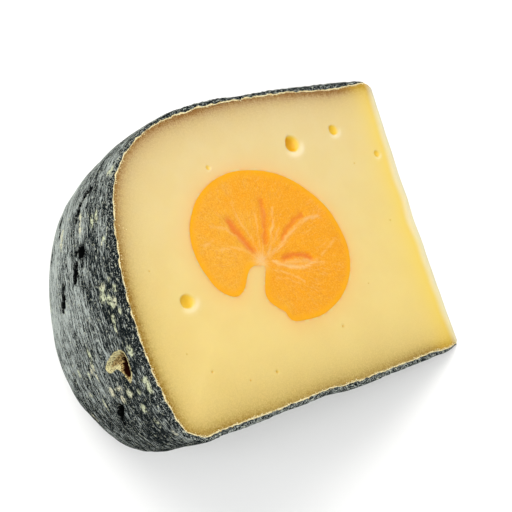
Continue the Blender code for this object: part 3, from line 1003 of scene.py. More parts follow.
into_band = (1.0 - BAND_SHARES)[:, None] * thickness(row_length)
from_inner = BAND_SHARES[:, None] * thickness(row_length)
line_width = LINE_WIDTH + LINE_UNEVENNESS * ripple(row_points, 2.1, 12.0)
line_mask = 1.0 - eased(from_inner / np.maximum(line_width, 0.1), *LINE_FADE)
seen_width = np.cos(WEDGE_ANGLE + column_azimuth) / math.cos(WEDGE_ANGLE)
seen_width = np.maximum(seen_width, LEAST_FORESHORTENING)
widened = np.concatenate([[0.0], np.cumsum(np.diff(column_azimuth) * seen_width[1:])])
band_darkness = read_off(BAND_DARKNESS_AT, row_length)
skin_darkness = read_off(SKIN_DARKNESS_AT, row_length)
dark_beside = 1.0 - eased(around_mm, 0.0, DARK_BESIDE_CUT)
# Paler further round from the cut and on the shoulder, partly powder and partly painted sheen; darker
# low on the wall, painted shade
powder_and_painted_light_amount = eased(around_mm, *SHEEN_AND_POWDER_AROUND) * eased(along_mm, *SHEEN_AND_POWDER_ALONG)
on_shoulder = eased(along_mm, *SHOULDER_FROM) * eased(around_mm, *SHOULDER_LIGHT_AND_POWDER_AROUND)
on_low_wall = eased(along_mm, *LOW_WALL[:2]) * (1.0 - eased(along_mm, *LOW_WALL[2:]))
powder_and_painted_light_amount = powder_and_painted_light_amount + SHOULDER_LIGHT_AND_POWDER * on_shoulder
powder_and_painted_light_amount = powder_and_painted_light_amount - LOW_WALL_PAINTED_SHADE * on_low_wall * eased(around_mm, *LOW_WALL_SHADE_AROUND)
dust = DUST * np.exp(-around_mm / DUST_REACH) * eased(along_mm, *DUSTY_FROM)

rind_attributes = {
    "wheel_mm": ring_values(
        (-into_band, widened[:, None] * radius_mm, around_mm.max()),
        (row_length, row_length, row_length),
        (into_band, 0.0, 0.0),
    ),
    "growth": ring_values((0.0, bloom_mask, 0.0), (0.0, pit_painted_shade_mask, 0.0), (0.0, crater_and_shade_mask, 0.0)),
    "cut": ring_values(
        (band_darkness, dark_beside * skin_darkness, 0.0),
        (line_mask, dust, 0.0),
        (0.0, powder_and_painted_light_amount, SHEEN_AND_POWDER_OUT_OF_SIGHT),
    ),
}
print("The rind carries", ", ".join(rind_attributes))

# %% [markdown]
# ## Closing the rind
#
# Band, skin, hidden band and inner wall now form a ring of columns. Quads join each column to the
# next, and the last to the first, so the rind is a closed shell. Its two ends by the tip are one
# face each.

# %% Build the rind
def write_attribute(mesh, name, values):
    attribute = mesh.attributes.new(name, "FLOAT_VECTOR", "POINT")
    attribute.data.foreach_set("vector", np.ascontiguousarray(values, dtype=np.float32).ravel())


def ring_faces(columns, rows):
    """Quads of a closed ring of columns, and one face at each end."""
    column, row = np.meshgrid(np.arange(columns), np.arange(rows - 1), indexing="ij")
    here = (column * rows + row).ravel()
    beside = ((column + 1) % columns * rows + row).ravel()
    quads = np.column_stack([here, here + 1, beside + 1, beside]).tolist()
    first_end = [c * rows for c in range(columns)]
    last_end = [c * rows + rows - 1 for c in reversed(range(columns))]
    return quads + [first_end, last_end]


ring = np.concatenate([cut_band, skin, far_band, np.array(inner_wall)])
rind_mesh = bpy.data.meshes.new("rind")
rind_mesh.from_pydata(ring.reshape(-1, 3).tolist(), [], ring_faces(len(ring), ROWS))
for name, values in rind_attributes.items():
    write_attribute(rind_mesh, name, values)
rind_mesh.materials.append(rind_material)
rind_mesh.shade_smooth()
rind_mesh.set_sharp_from_angle(angle=math.radians(75.0))
rind = new_object("rind", rind_mesh)
print("Rind:", sum(len(p.vertices) - 2 for p in rind_mesh.polygons), "triangles")

# %% [markdown]
# ## Outlines on the cut face
#
# Two closed lines divide the cut face. The outer one is where paste meets rind and tip. The inner
# one is the fruit's: a rounded left lobe, a keyhole notch that opens downwards and a larger right
# lobe. It is drawn through a few points, and a smooth curve runs through them.

# %% Outlines
FRUIT_OUTLINE = (
    (59.6, 62.3), (51.3, 61.0), (43.9, 58.0), (37.9, 53.4), (33.2, 47.9), (30.8, 41.6),
    (30.3, 35.1), (32.9, 28.7), (38.7, 23.6), (46.8, 20.8), (54.3, 20.9), (57.4, 21.5),
    (58.7, 22.8), (59.3, 24.4), (61.2, 25.9), (63.1, 27.9), (63.7, 29.9), (62.9, 32.3),
    (61.8, 34.6), (60.9, 36.6), (62.4, 37.4), (64.8, 37.6), (66.5, 36.8), (68.0, 35.0),
    (69.5, 33.0), (71.3, 31.8), (73.3, 31.5), (75.9, 32.7), (78.3, 35.0), (79.7, 37.8),
    (80.9, 40.9), (81.5, 45.0), (80.9, 49.4), (79.0, 53.2), (76.0, 56.8), (71.9, 59.6),
    (66.2, 61.7),
)
STEPS_PER_POINT = 5
FRUIT_OVERLAP = 0.26
TIP_START = 0.15
TIP_BOW = 1.9
TIP_RIPPLE = 0.8
TIP_RIPPLE_LENGTH = 7.0
TIP_MIDDLE = 0.3
TIP_ROUNDNESS = 1.6
TIP_CORNER = 0.5
TIP_CORNER_REACH = 3.0
PASTE_ROW_STEP = 1.1
PASTE_COLUMNS = 12
TIP_STEP = 1.0
PASTE_UNDER_RIND = 0.5
LEAST_INSET = 0.05


def grown_loop(loop, distance):
    along = np.roll(loop, -1, axis=0) - np.roll(loop, 1, axis=0)
    across = np.column_stack([-along[:, 1], along[:, 0]])
    across /= np.linalg.norm(across, axis=1)[:, None]
    side = np.sign((across * (loop - loop.mean(axis=0))).sum())
    return loop + side * distance * across


def tip_radius(heights):
    fade = np.clip(np.sin(math.pi * heights / WHEEL_HEIGHT), 0.0, 1.0)
    on_axis = np.column_stack([np.zeros_like(heights), heights, np.zeros_like(heights)])
    bow = fade * (TIP_BOW + TIP_RIPPLE * ripple(on_axis, TIP_RIPPLE_LENGTH))
    from_end = np.minimum(heights, WHEEL_HEIGHT - heights) / TIP_CORNER_REACH
    return TIP_START + bow + TIP_CORNER * np.clip(1.0 - from_end, 0.0, 1.0) ** 2


def tip_size(turn):
    """The tip's rounding: how far the tip lies out at a share of the way between the cuts."""
    return TIP_MIDDLE + (1.0 - TIP_MIDDLE) * np.abs(2.0 * turn - 1.0) ** TIP_ROUNDNESS


paste_lengths = np.linspace(
    TIP_CORNER, total_at_cut - TIP_CORNER, int(total_at_cut / PASTE_ROW_STEP)
)
paste_inset = np.maximum(thickness(paste_lengths) - PASTE_UNDER_RIND, LEAST_INSET)
paste_rows_cut = at_lengths(outline_at_cut, paste_lengths)
paste_rows_far = at_lengths(outline_around, paste_lengths * total_around / total_at_cut)
paste_edge_cut = inner_outline(paste_rows_cut, paste_lengths, paste_inset)
paste_edge_far = inner_outline(paste_rows_far, paste_lengths, paste_inset)
tip_heights = np.linspace(
    paste_edge_cut[0, 1], paste_edge_cut[-1, 1], int(WHEEL_HEIGHT / TIP_STEP)
)[1:-1]
tip_edge = np.column_stack([tip_radius(tip_heights), tip_heights])
fruit_loop = grown_loop(smooth_loop(FRUIT_OUTLINE, STEPS_PER_POINT), -FRUIT_OVERLAP)
face_border = np.vstack([paste_edge_cut, tip_edge[::-1]])
far_border = np.vstack([paste_edge_far, tip_edge[::-1]])
print("Face border", len(face_border), "points, fruit", len(fruit_loop), "points")

# %% [markdown]
# ## The cut face
#
# A flat polygon with a hole can't carry eyes and pinholes, so the face is filled with a fine net
# of points and joined by a constrained Delaunay triangulation. Rings of closer points lie round
# every eye. Then each point sinks or rises by a rule: broad waves left by the wire, a soft sunken
# edge at the rind, a cup for each eye with a rounded lip, and a small dot for each pinhole.

# %% Face points and relief
NET_STEP = 0.8
PASTE_EYES = (
    (37.7, 66.7, 2.6, 2.4, 1.6), (20.8, 68.4, 1.8, 1.6, 0.8),
    (6.9, 59.4, 1.2, 1.1, 0.5), (87.9, 33.8, 2.3, 1.9, 0.9),
    (68.6, 64.6, 0.8, 0.7, 0.3),
)
EYE_SOFT_SIDE = np.array((-0.92, 0.39))
EYE_LIP_SIDE = np.array((-0.32, -0.95))
EYE_SOFTNESS = 1.3
EYE_LIP = 0.08
EYE_DEPTH_OF_FULL_PAINTED_LIGHT = 1.3
PINHOLES = (
    (41.3, 16.3, 0.35), (68.0, 10.8, 0.4), (77.0, 11.0, 0.25), (87.4, 15.9, 0.3),
    (93.0, 21.8, 0.2), (10.5, 40.1, 0.25), (96.0, 43.0, 0.2), (27.0, 25.0, 0.2), (17.0, 58.0, 0.22),
)
EYE_RINGS = (0.15, 0.35, 0.55, 0.7, 0.82, 0.91, 1.0, 1.1, 1.25, 1.45, 1.75)
EYE_RING_STEP = 0.3
PIN_RINGS = (0.0, 0.5, 1.0, 1.6)
FACE_WAVE = 0.13
FACE_WAVE_LENGTH = 24.0
FACE_GRAIN = 0.03
FACE_GRAIN_LENGTH = 5.0
PINHOLE_DEPTH = 1.2
FACE_SINK = 0.16
FACE_SINK_REACH = 1.1


def ring_points(centre, half_width, half_height, shares, step):
    """Points on ellipses round a centre, a step apart."""
    found = []
    for share in shares:
        count = max(1, int(2 * math.pi * max(half_width, half_height) * share / step))
        turn = np.linspace(0.0, 2 * math.pi, count, endpoint=False) + share
        found.append(np.column_stack([
            centre[0] + half_width * share * np.cos(turn),
            centre[1] + half_height * share * np.sin(turn),
        ]))
    return np.vstack(found)


def eye_share(points, eye):
    return np.hypot((points[:, 0] - eye[0]) / eye[2], (points[:, 1] - eye[1]) / eye[3])


def towards(points, eye, side):
    """From -1 to 1, how far each point lies towards one side of an eye."""
    away = points - np.array(eye[:2])
    return away @ side / np.maximum(np.linalg.norm(away, axis=1), 0.01)


def net_points(border, step, seed):
    """A slightly shaken triangular net inside a border."""
    low, high = border.min(axis=0), border.max(axis=0)
    columns = np.arange(low[0], high[0], step)
    rows = np.arange(low[1], high[1], step * math.sqrt(0.75))
    net = np.array([(x + 0.5 * step * (k % 2), y) for k, y in enumerate(rows) for x in columns])
    net += np.random.default_rng(seed).uniform(-0.12, 0.12, net.shape) * step
    net = net[inside(net, border)]
    return net[distance_to(net, border) > 0.6 * step]


def net_round_fruit(border, step, seed):
    """A net inside a border and clear of the fruit."""
    net = net_points(border, step, seed)
    net = net[~inside(net, fruit_loop)]
    return net[distance_to(net, fruit_loop) > 0.5 * step]


def triangulated(loops, points):
    """Triangles over the area inside the first loop and outside the others."""
    loops = [loop.astype(np.float32).astype(float) for loop in loops]
    coordinates = np.vstack([*loops, points])
    edges = []
    start = 0
    for loop in loops:
        numbers = np.arange(start, start + len(loop))
        edges += list(zip(numbers.tolist(), np.roll(numbers, -1).tolist()))
        start += len(loop)
    made = geometry.delaunay_2d_cdt([Vector(p) for p in coordinates], edges, [], 0, 1e-6)
    flat = np.array([tuple(p) for p in made[0]])
    triangles = np.array(made[2])
    middles = flat[triangles].mean(axis=1)
    keep = inside(middles, loops[0])
    for hole in loops[1:]:
        keep &= ~inside(middles, hole)
    return flat, triangles[keep]


def face_relief(points):
    """How far each point of the cut face stands out, in millimetres; hollows are below zero."""
    relief = FACE_WAVE * ripple(points, FACE_WAVE_LENGTH, 3.0)
    relief += FACE_GRAIN * ripple(points, FACE_GRAIN_LENGTH, 8.0)
    from_rind = distance_to(points, paste_edge_cut, False)
    relief -= FACE_SINK * (1.0 - eased(from_rind, 0.0, FACE_SINK_REACH))
    for eye in PASTE_EYES:
        share = eye_share(points, eye) * (1.0 + 0.06 * ripple(points, 1.5, eye[0]))
        soft = np.clip(towards(points, eye, EYE_SOFT_SIDE), 0.0, 1.0)
        relief -= eye[4] * np.clip(1.0 - share**2, 0.0, 1.0) ** (0.6 + EYE_SOFTNESS * soft)
        on_lip = eased(towards(points, eye, EYE_LIP_SIDE), 0.1, 0.9)
        relief += EYE_LIP * on_lip * np.exp(-((share - 1.3) / 0.3) ** 2)
    for r, h, size in PINHOLES:
        share = np.hypot(points[:, 0] - r, points[:, 1] - h) / size
        relief -= PINHOLE_DEPTH * size * np.exp(-share**2)
    return relief


face_net = net_round_fruit(face_border, NET_STEP, 7)
for eye in PASTE_EYES:
    rings = ring_points(eye[:2], eye[2], eye[3], EYE_RINGS, EYE_RING_STEP)
    face_net = np.vstack([face_net[eye_share(face_net, eye) > EYE_RINGS[-1] + 0.15], rings])
for r, h, size in PINHOLES:
    apart = np.hypot(face_net[:, 0] - r, face_net[:, 1] - h)
    rings = ring_points((r, h), size, size, PIN_RINGS, 0.3)
    face_net = np.vstack([face_net[apart > 2.0 * size], rings])
face_flat, face_triangles = triangulated([face_border, fruit_loop], face_net)
print("Cut face:", len(face_flat), "points and", len(face_triangles), "triangles")

# %% [markdown]
# ## Colours that follow the borders
#
# Cheese dries from the rind inwards and takes colour from the fruit, and near the thin tip a clearer
# yellow is painted as the glow of light that comes through it. Painting that by hand would be slow,
# so each point's distance from a border gives how strongly it shows there. The mesh carries the
# numbers, and the material turns them into colours.

# %% Colour the cut face
RIND_SHADE_REACH = (
    (0.0, 5.0), (85.0, 6.5), (100.0, 5.6), (150.0, 4.6), (190.0, 3.6), (270.0, 3.8),
)
RIND_SHADE_DEPTH = (
    (0.0, 0.5), (12.0, 0.55), (30.0, 0.68), (85.0, 0.66), (105.0, 0.52), (140.0, 0.58),
    (175.0, 0.74), (200.0, 0.8), (270.0, 0.66),
)
DRY_BAND_REACH = 2.2
DRY_BAND_DEPTH = (
    (0.0, 0.5), (12.0, 0.45), (30.0, 0.2), (70.0, 0.15), (100.0, 0.35), (112.0, 0.5),
    (140.0, 0.5), (152.0, 0.35), (180.0, 0.25), (200.0, 0.4), (215.0, 0.25), (235.0, 0.35),
    (258.0, 0.55), (270.0, 0.5),
)
FRUIT_HALO = 2.2
FRUIT_HALO_DEPTH = 0.55
FRUIT_EDGE = 0.5
FRUIT_EDGE_DEPTH = 0.4
TIP_GLOW_DEPTH = 0.8
TIP_GLOW_INWARD = 6.0
TIP_GLOW_OUTWARD = 1.6
TIP_GLOW_FROM = 2.6
TIP_HIGHLIGHT = 0.65
TIP_HIGHLIGHT_REACH = 2.6


def border_values(points):
    """How strongly the rind, the fruit and the tip's painted glow colour each point of the cut face.
    """
    apart = np.linalg.norm(points[:, None, :] - paste_edge_cut[None, ::2], axis=2)
    nearest = paste_lengths[::2][apart.argmin(axis=1)]
    from_border = np.maximum(apart.min(axis=1) - PASTE_UNDER_RIND, 0.0)
    near_rind = read_off(RIND_SHADE_DEPTH, nearest) * np.exp(
        -from_border / read_off(RIND_SHADE_REACH, nearest)
    )
    dry = np.exp(-((from_border / DRY_BAND_REACH) ** 2))
    near_rind = near_rind + read_off(DRY_BAND_DEPTH, nearest) * dry
    from_fruit = distance_to(points, fruit_loop)
    near_fruit = FRUIT_HALO_DEPTH * np.exp(-from_fruit / FRUIT_HALO)
    near_fruit += FRUIT_EDGE_DEPTH * np.exp(-((from_fruit / FRUIT_EDGE) ** 2))
    # Painted glow of light through the thin tip, spreading further inwards than outwards
    from_glow = points[:, 0] - tip_radius(points[:, 1]) - TIP_GLOW_FROM
    spread = np.where(from_glow > 0.0, TIP_GLOW_INWARD, TIP_GLOW_OUTWARD)
    painted_tip_glow = TIP_GLOW_DEPTH * np.exp(-np.abs(from_glow) / spread)
    return np.column_stack([near_rind, near_fruit, painted_tip_glow])


def mark_values(points):
    """Painted shade in the eyes and pinholes, and painted highlights on the eyes' lower lips and the
    tip.
    """
    eye_painted_shade = np.zeros(len(points))
    on_lip = np.zeros(len(points))
    pinhole_painted_shade = np.zeros(len(points))
    for eye in PASTE_EYES:
        share = eye_share(points, eye)
        soft = np.clip(towards(points, eye, EYE_SOFT_SIDE), 0.0, 1.0)
        # Painted shade inside each eye, fuller in deeper eyes and fading early on the soft side
        strength = min(1.0, 0.25 + 0.75 * eye[4] / EYE_DEPTH_OF_FULL_PAINTED_LIGHT)
        deep = 1.0 - eased(share, 0.7 - 0.5 * soft, 1.08 + 0.12 * soft)
        eye_painted_shade = np.maximum(eye_painted_shade, strength * deep)
        # Painted highlight on the lower, lit side of each eye's lip
        lit = eased(towards(points, eye, EYE_LIP_SIDE), 0.0, 0.9)
        lip = 0.7 * strength * lit * np.exp(-((share - 1.3) / 0.36) ** 2)
        on_lip = np.maximum(on_lip, lip * eased(share, 0.85, 1.1))
    # Painted shade in each pinhole
    for r, h, size in PINHOLES:
        share = np.hypot(points[:, 0] - r, points[:, 1] - h) / size
        pinhole_painted_shade = np.maximum(pinhole_painted_shade, 1.0 - eased(share, 0.4, 1.5))
    # Painted highlight along the worn tip's edge
    from_tip = points[:, 0] - tip_radius(points[:, 1])
    on_lip = np.maximum(on_lip, TIP_HIGHLIGHT * (1.0 - eased(from_tip, 0.0, TIP_HIGHLIGHT_REACH)))
    return np.column_stack([eye_painted_shade, on_lip, pinhole_painted_shade])


print("The eyes colour", int((mark_values(face_flat)[:, 0] > 0.5).sum()), "points")

# %% [markdown]
# ## Building the paste
#
# The other surfaces share their borders with the cut face: the wall under the rind, the worn tip,
# the tunnel round the fruit and the face that it lies on. Each is a grid or a net. Points that
# fall together are merged at the end, which closes the solid.

# %% Build the paste
FAR_NET_STEP = 3.0


def on_cut(points, relief=face_relief):
    """Places on the visible cut face, with its relief."""
    spots = places(points[:, 0], 0.0, points[:, 1])
    return spots + FACE_OUTWARD * (relief(points) * MM)[:, None]


def on_far_cut(points):
    return places(points[:, 0], WEDGE_ANGLE, points[:, 1])


def swept_tube(loop, relief=face_relief):
    """A closed loop carried from the visible cut to the far one, as a grid of places."""
    rings = [places(loop[:, 0], WEDGE_ANGLE * turn, loop[:, 1]) for turn in column_turns]
    rings = np.array([on_cut(loop, relief), *rings[1:]])
    return np.concatenate([rings, rings[:, :1]], axis=1)


def grid_quads(columns, rows):
    column, row = np.meshgrid(np.arange(columns - 1), np.arange(rows - 1), indexing="ij")
    here = (column * rows + row).ravel()
    return np.column_stack([here, here + 1, here + rows + 1, here + rows])


def closed_piece(name, parts, material):
    """Joins parts of (places, faces, attributes) and merges the borders that they share."""
    mesh = bpy.data.meshes.new(name)
    faces = []
    start = 0
    for spots, part_faces, _ in parts:
        faces += (np.asarray(part_faces) + start).tolist()
        start += len(spots)
    mesh.from_pydata(np.vstack([part[0] for part in parts]).tolist(), [], faces)
    for label in parts[0][2]:
        write_attribute(mesh, label, np.vstack([part[2][label] for part in parts]))
    builder = bmesh.new()
    builder.from_mesh(mesh)
    bmesh.ops.remove_doubles(builder, verts=builder.verts, dist=0.002 * MM)
    bmesh.ops.recalc_face_normals(builder, faces=builder.faces)
    open_edges = sum(not edge.is_manifold for edge in builder.edges)
    builder.to_mesh(mesh)
    builder.free()
    mesh.materials.append(material)
    mesh.shade_smooth()
    mesh.set_sharp_from_angle(angle=math.radians(62.0))
    print(name, "has", len(mesh.polygons), "faces and", open_edges, "open edges")
    return new_object(name, mesh)


def grid_part(columns, borders=(0.0, 0.0, 0.0), marks=(0.0, 0.0, 0.0)):
    """A grid of places, its quads and the same attributes all over it."""
    spots = columns.reshape(-1, 3)
    tiled = {"borders": np.tile(borders, (len(spots), 1)), "marks": np.tile(marks, (len(spots), 1))}
    return spots, grid_quads(*columns.shape[:2]), tiled


column_turns = np.linspace(0.0, 1.0, PASTE_COLUMNS + 1)
wall_columns = []
for turn in column_turns:
    azimuth = WEDGE_ANGLE * turn
    rows = mixed_rows(azimuth, paste_rows_cut, paste_rows_far)
    edge = inner_outline(rows, paste_lengths, paste_inset)
    wall_columns.append(places(edge[:, 0], azimuth, edge[:, 1]))
wall_columns[0] = on_cut(paste_edge_cut)
wall_columns[-1] = on_far_cut(paste_edge_far)
wall_columns = np.array(wall_columns)

tip_columns = [
    places(tip_edge[:, 0] * tip_size(turn), WEDGE_ANGLE * turn, tip_edge[:, 1])
    for turn in column_turns
]
tip_columns[0] = on_cut(tip_edge)
tip_columns[-1] = on_far_cut(tip_edge)
tip_columns = np.array([
    np.vstack([wall[:1], column, wall[-1:]]) for wall, column in zip(wall_columns, tip_columns)
])

far_net = net_round_fruit(far_border, FAR_NET_STEP, 11)
far_flat, far_triangles = triangulated([far_border, fruit_loop], far_net)

face_attributes = {"borders": border_values(face_flat), "marks": mark_values(face_flat)}
far_attributes = {"borders": border_values(far_flat), "marks": np.zeros((len(far_flat), 3))}
paste = closed_piece("paste", [
    (on_cut(face_flat), face_triangles, face_attributes),
    grid_part(wall_columns, (0.7, 0.0, 0.0)),
    # The tip's own surface carries some of the painted tip glow and the painted tip highlight
    grid_part(tip_columns, (0.0, 0.0, 0.2), (0.0, TIP_HIGHLIGHT, 0.0)),
    grid_part(swept_tube(fruit_loop)),
    (on_far_cut(far_flat), far_triangles, far_attributes),
], paste_material)

# %% [markdown]
# ## Building the fruit
#
# The fruit fills the tunnel. Its cut end is a net like the paste's, a touch wider than its hole
# and raised a hair at the border, so that no dark gap can open between them. Four seed pockets lie
# round the middle, where the knife opened them, with pale veins between.

# %% Pockets and veins in the fruit
FIBRE_CENTRE = np.array((61.5, 38.5))
# Lines of painted shade along the seed pockets, which are also shallow grooves
POCKET_SHADES = (
    (((67.8, 50.0), (66.0, 46.6), (64.6, 44.0), (63.0, 41.8)), 1.25, 0.75),
    (((55.2, 53.6), (55.7, 50.0), (56.6, 46.5), (58.2, 43.2)), 1.15, 0.6),
    (((43.0, 47.6), (46.0, 46.6), (49.2, 44.9), (52.2, 42.6)), 0.85, 0.6),
    (((54.0, 37.6), (50.6, 37.9), (47.2, 37.3), (44.6, 36.1)), 0.85, 0.75),
)
PALE_VEINS = (
    (((60.5, 39.5), (60.3, 42.5), (59.6, 46.0), (58.8, 50.5)), 0.3, 0.4),
    (((60.5, 39.5), (59.2, 42.5), (57.0, 47.0), (54.9, 51.7)), 0.25, 0.35),
    (((58.6, 39.6), (56.4, 42.2), (54.0, 46.5), (52.0, 51.3)), 0.35, 0.6),
    (((58.6, 38.6), (52.5, 41.5), (47.0, 44.4), (42.0, 46.2), (37.2, 46.0)), 0.55, 0.6),
    (((57.6, 37.6), (53.1, 35.3), (48.1, 34.1), (42.6, 34.6)), 0.5, 0.75),
    (((55.0, 36.4), (50.0, 36.1), (45.4, 35.4), (40.6, 33.7)), 0.55, 0.5),
    (((58.7, 39.5), (55.4, 42.6), (51.8, 45.6)), 0.35, 0.4),
    (((40.4, 35.8), (37.3, 37.4), (34.5, 38.5)), 0.35, 0.4),
    (((41.6, 37.4), (37.9, 38.6)), 0.3, 0.35),
    (((58.1, 35.3), (53.5, 33.3), (49.3, 30.5)), 0.35, 0.4),
    (((58.3, 33.2), (54.1, 32.0), (51.3, 30.1)), 0.3, 0.3),
    (((62.5, 39.6), (65.6, 42.2), (69.5, 43.5), (74.7, 43.7)), 0.35, 0.35),
    (((63.5, 41.5), (65.9, 45.4), (69.4, 48.4), (74.0, 50.1)), 0.35, 0.35),
    (((61.6, 41.7), (62.5, 45.3), (64.7, 50.0), (64.8, 54.5)), 0.35, 0.35),
    (((74.5, 46.5), (77.5, 45.6)), 0.4, 0.35),
)
VEIN_WANDER = 0.5
VEIN_SHAKE = 0.3
POCKET_DEPTH = 0.3
VEIN_RISE = 0.06
PULP_RISE = 0.05
EDGE_RISE = 0.03
SKIN_SIDE = 2.2
PALE_MIDDLE = 2.1


def near_lines(points, lines):
    """How near each point is to any of some wandering lines of (places, width, strength)."""
    wandered = points + VEIN_WANDER * np.column_stack([
        ripple(points, 2.2, 31.0), ripple(points, 2.2, 47.0)
    ])
    wandered += VEIN_SHAKE * np.column_stack([ripple(points, 0.8, 53.0), ripple(points, 0.8, 59.0)])
    found = np.zeros(len(points))
    for line, width, strength in lines:
        distance = distance_to(wandered, np.array(line), closed=False)
        found = np.maximum(found, strength * np.exp(-((distance / width) ** 2)))
    return found


def fruit_relief(points):
    relief = face_relief(points)
    relief += EDGE_RISE * (1.0 - eased(distance_to(points, fruit_loop), 0.3, 0.7))
    relief += PULP_RISE * ripple(points, 1.3, 21.0) + VEIN_RISE * near_lines(points, PALE_VEINS)
    return relief - POCKET_DEPTH * near_lines(points, POCKET_SHADES)


def fruit_attributes(points):
    away = points - FIBRE_CENTRE
    distance = np.linalg.norm(away, axis=1)
    direction = away / np.maximum(distance, 0.05)[:, None]
    near_skin = 0.9 * (1.0 - eased(distance_to(points, fruit_loop), 0.2, SKIN_SIDE))
    pocket_painted_shade = near_lines(points, POCKET_SHADES)
    middle = np.exp(-(distance / PALE_MIDDLE) ** 2)
    on_pale = np.maximum(0.8 * near_lines(points, PALE_VEINS) * (1.0 - 0.7 * pocket_painted_shade), middle)
    return {
        "polar": np.column_stack([direction, distance]),
        "flesh": np.column_stack([near_skin, pocket_painted_shade, on_pale]),
    }


print("The fruit has", len(POCKET_SHADES), "pockets and", len(PALE_VEINS), "veins")

# %% [markdown]
# ## The fruit as one solid
#
# Cap, sleeve and floor are the fruit's cut end, its side and the end that it lies on. They are
# joined and closed in the same way as the paste, with the fruit's own relief on the cap.

# %% Build the fruit
FRUIT_NET_STEP = 0.38
cap_border = grown_loop(fruit_loop, FRUIT_OVERLAP)
cap_net = net_points(cap_border, FRUIT_NET_STEP, 13)
cap_flat, cap_triangles = triangulated([cap_border], cap_net)
floor_flat, floor_triangles = triangulated([cap_border], net_points(cap_border, FAR_NET_STEP, 17))
sleeve = swept_tube(cap_border, fruit_relief)
sleeve_flat = np.tile(np.vstack([cap_border, cap_border[:1]]), (len(column_turns), 1))
fruit = closed_piece("fruit", [
    (on_cut(cap_flat, fruit_relief), cap_triangles, fruit_attributes(cap_flat)),
    (sleeve.reshape(-1, 3), grid_quads(*sleeve.shape[:2]), fruit_attributes(sleeve_flat)),
    (on_far_cut(floor_flat), floor_triangles, fruit_attributes(floor_flat)),
], fruit_material)

# %% [markdown]
# ## Crumbs along the cut
#
# The knife left crumbs of dry paste on the line between paste and rind. They repeat along a path,
# which is work for Geometry Nodes: the tree walks the line, shakes each point, puts a small faceted
# lump there with its own turn and size, and makes the copies real so that the export keeps them.

# %% Scatter the crumbs
CRUMB_SPACING = 0.45
CRUMB_SIZE = 0.17
CRUMB_SHAKE = 0.3
CRUMB_LIFT = 0.06
CRUMB_TONE = 1.1
FLAKE_RUNS = (
    ((74.0, 2.1), (72.6, 2.3), (71.4, 1.9)), ((61.8, 1.6), (60.6, 1.9)),
    ((55.6, 2.0), (54.0, 2.2), (52.4, 1.8), (51.0, 2.2)), ((46.6, 2.1), (45.2, 2.4), (44.0, 1.9)),
    ((40.6, 1.6), (39.2, 2.0)), ((100.6, 54.9), (99.6, 54.4)), ((99.2, 53.4), (98.6, 53.9)),
)


def crumb_tree():
    """Walks a line and puts a small lump with its own shift, turn and size at each step."""
    tree, given = new_geometry_tree("crumbs_along_line", {
        "Spacing": ("Float", 0.001),
        "Crumb Size": ("Float", 0.0002),
        "Shake": ("Float", 0.0002),
        "Seed": ("Int", 1),
        "Crumb Material": ("Material", None),
    })
    curve = add_node(tree, "GeometryNodeMeshToCurve", None, {"Mesh": given["Geometry"]})
    walked = add_node(tree, "GeometryNodeCurveToPoints", {"mode": "LENGTH"}, {
        "Curve": curve, "Length": given["Spacing"],
    })
    shake, turn, size = (
        add_node(tree, "FunctionNodeRandomValue", {"data_type": "FLOAT_VECTOR"}, {
            "Min": (low, low, low), "Max": highest,
            "Seed": weighted_sum(tree, (given["Seed"], 1.0), (step, 1.0)),
        })
        for step, (low, highest) in enumerate((
            (-1.0, (1.0, 1.0, 1.0)), (0.0, (math.tau, math.tau, math.tau)), (0.45, (1.5, 1.2, 0.9)),
        ))
    )
    shift = add_node(tree, "ShaderNodeVectorMath", {"operation": "SCALE"}, {
        "Vector": shake, "Scale": given["Shake"],
    })
    shaken = add_node(tree, "GeometryNodeSetPosition", None, {
        "Geometry": walked, "Offset": shift,
    })
    lump = add_node(tree, "GeometryNodeMeshIcoSphere", None, {
        "Radius": given["Crumb Size"], "Subdivisions": 1,
    })
    crumbs = add_node(tree, "GeometryNodeInstanceOnPoints", None, {
        "Points": shaken, "Instance": lump, "Rotation": turn, "Scale": size,
    })
    return end_tree(tree, crumbs, given["Crumb Material"])


crumb_material, tree, shader = new_material("dry_curd_crumbs")
position = add_node(tree, "ShaderNodeTexCoord", None, (), "Object")
tone = waves(tree, position, (CRUMB_TONE * MM,) * 3, 2.0, 0.5)
fill(tree, shader, {
    "Base Color": layered(tree, linear("#F4E6B4"), ((tone, 0.4, 0.6), "#D9BE7C")),
    "Roughness": 0.75,
})

guide = bpy.data.meshes.new("cut_line")
line_spots = inner_cut_edge + FACE_OUTWARD * CRUMB_LIFT * MM
line_edges = [(k, k + 1) for k in range(ROWS - 1)]
for run in FLAKE_RUNS:
    start = len(line_spots)
    line_spots = np.vstack([line_spots, on_cut(np.array(run))])
    line_edges += [(start + k, start + k + 1) for k in range(len(run) - 1)]
guide.from_pydata(line_spots.tolist(), line_edges, [])
crumb_mesh = run_tree("crumb_guide", guide, crumb_tree(), {
    "Spacing": CRUMB_SPACING * MM,
    "Crumb Size": CRUMB_SIZE * MM,
    "Shake": CRUMB_SHAKE * MM,
    "Seed": 5,
    "Crumb Material": crumb_material,
})
crumbs = new_object("crumbs", crumb_mesh)
print("Crumbs:", len(crumb_mesh.polygons), "faces")

# %% [markdown]
# ## What each piece stands for
#
# Paste, rind and crumbs together replace the solid cheese, and the fruit replaces the solid core.
# Every piece rides on the object's one body, and the solid parts that it replaces are hidden.

# %% Tie the pieces to the frame
for piece, node, slot in (
    (paste, "cheese", "paste"),
    (rind, "cheese", "rind"),
    (crumbs, "cheese", "paste"),
    (fruit, "fruit_core", "fruit"),
):
    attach(piece, BODY)
    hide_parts(node)

# %% [markdown]
# ## Floor and light
#
# The photo has a plain white ground and soft light from its upper left, with a little from the
# rind's side. Large area lights give soft light, because their size on the scene sets how soft a
# shadow is. The floor is pale and very slightly uneven, like a painted table.

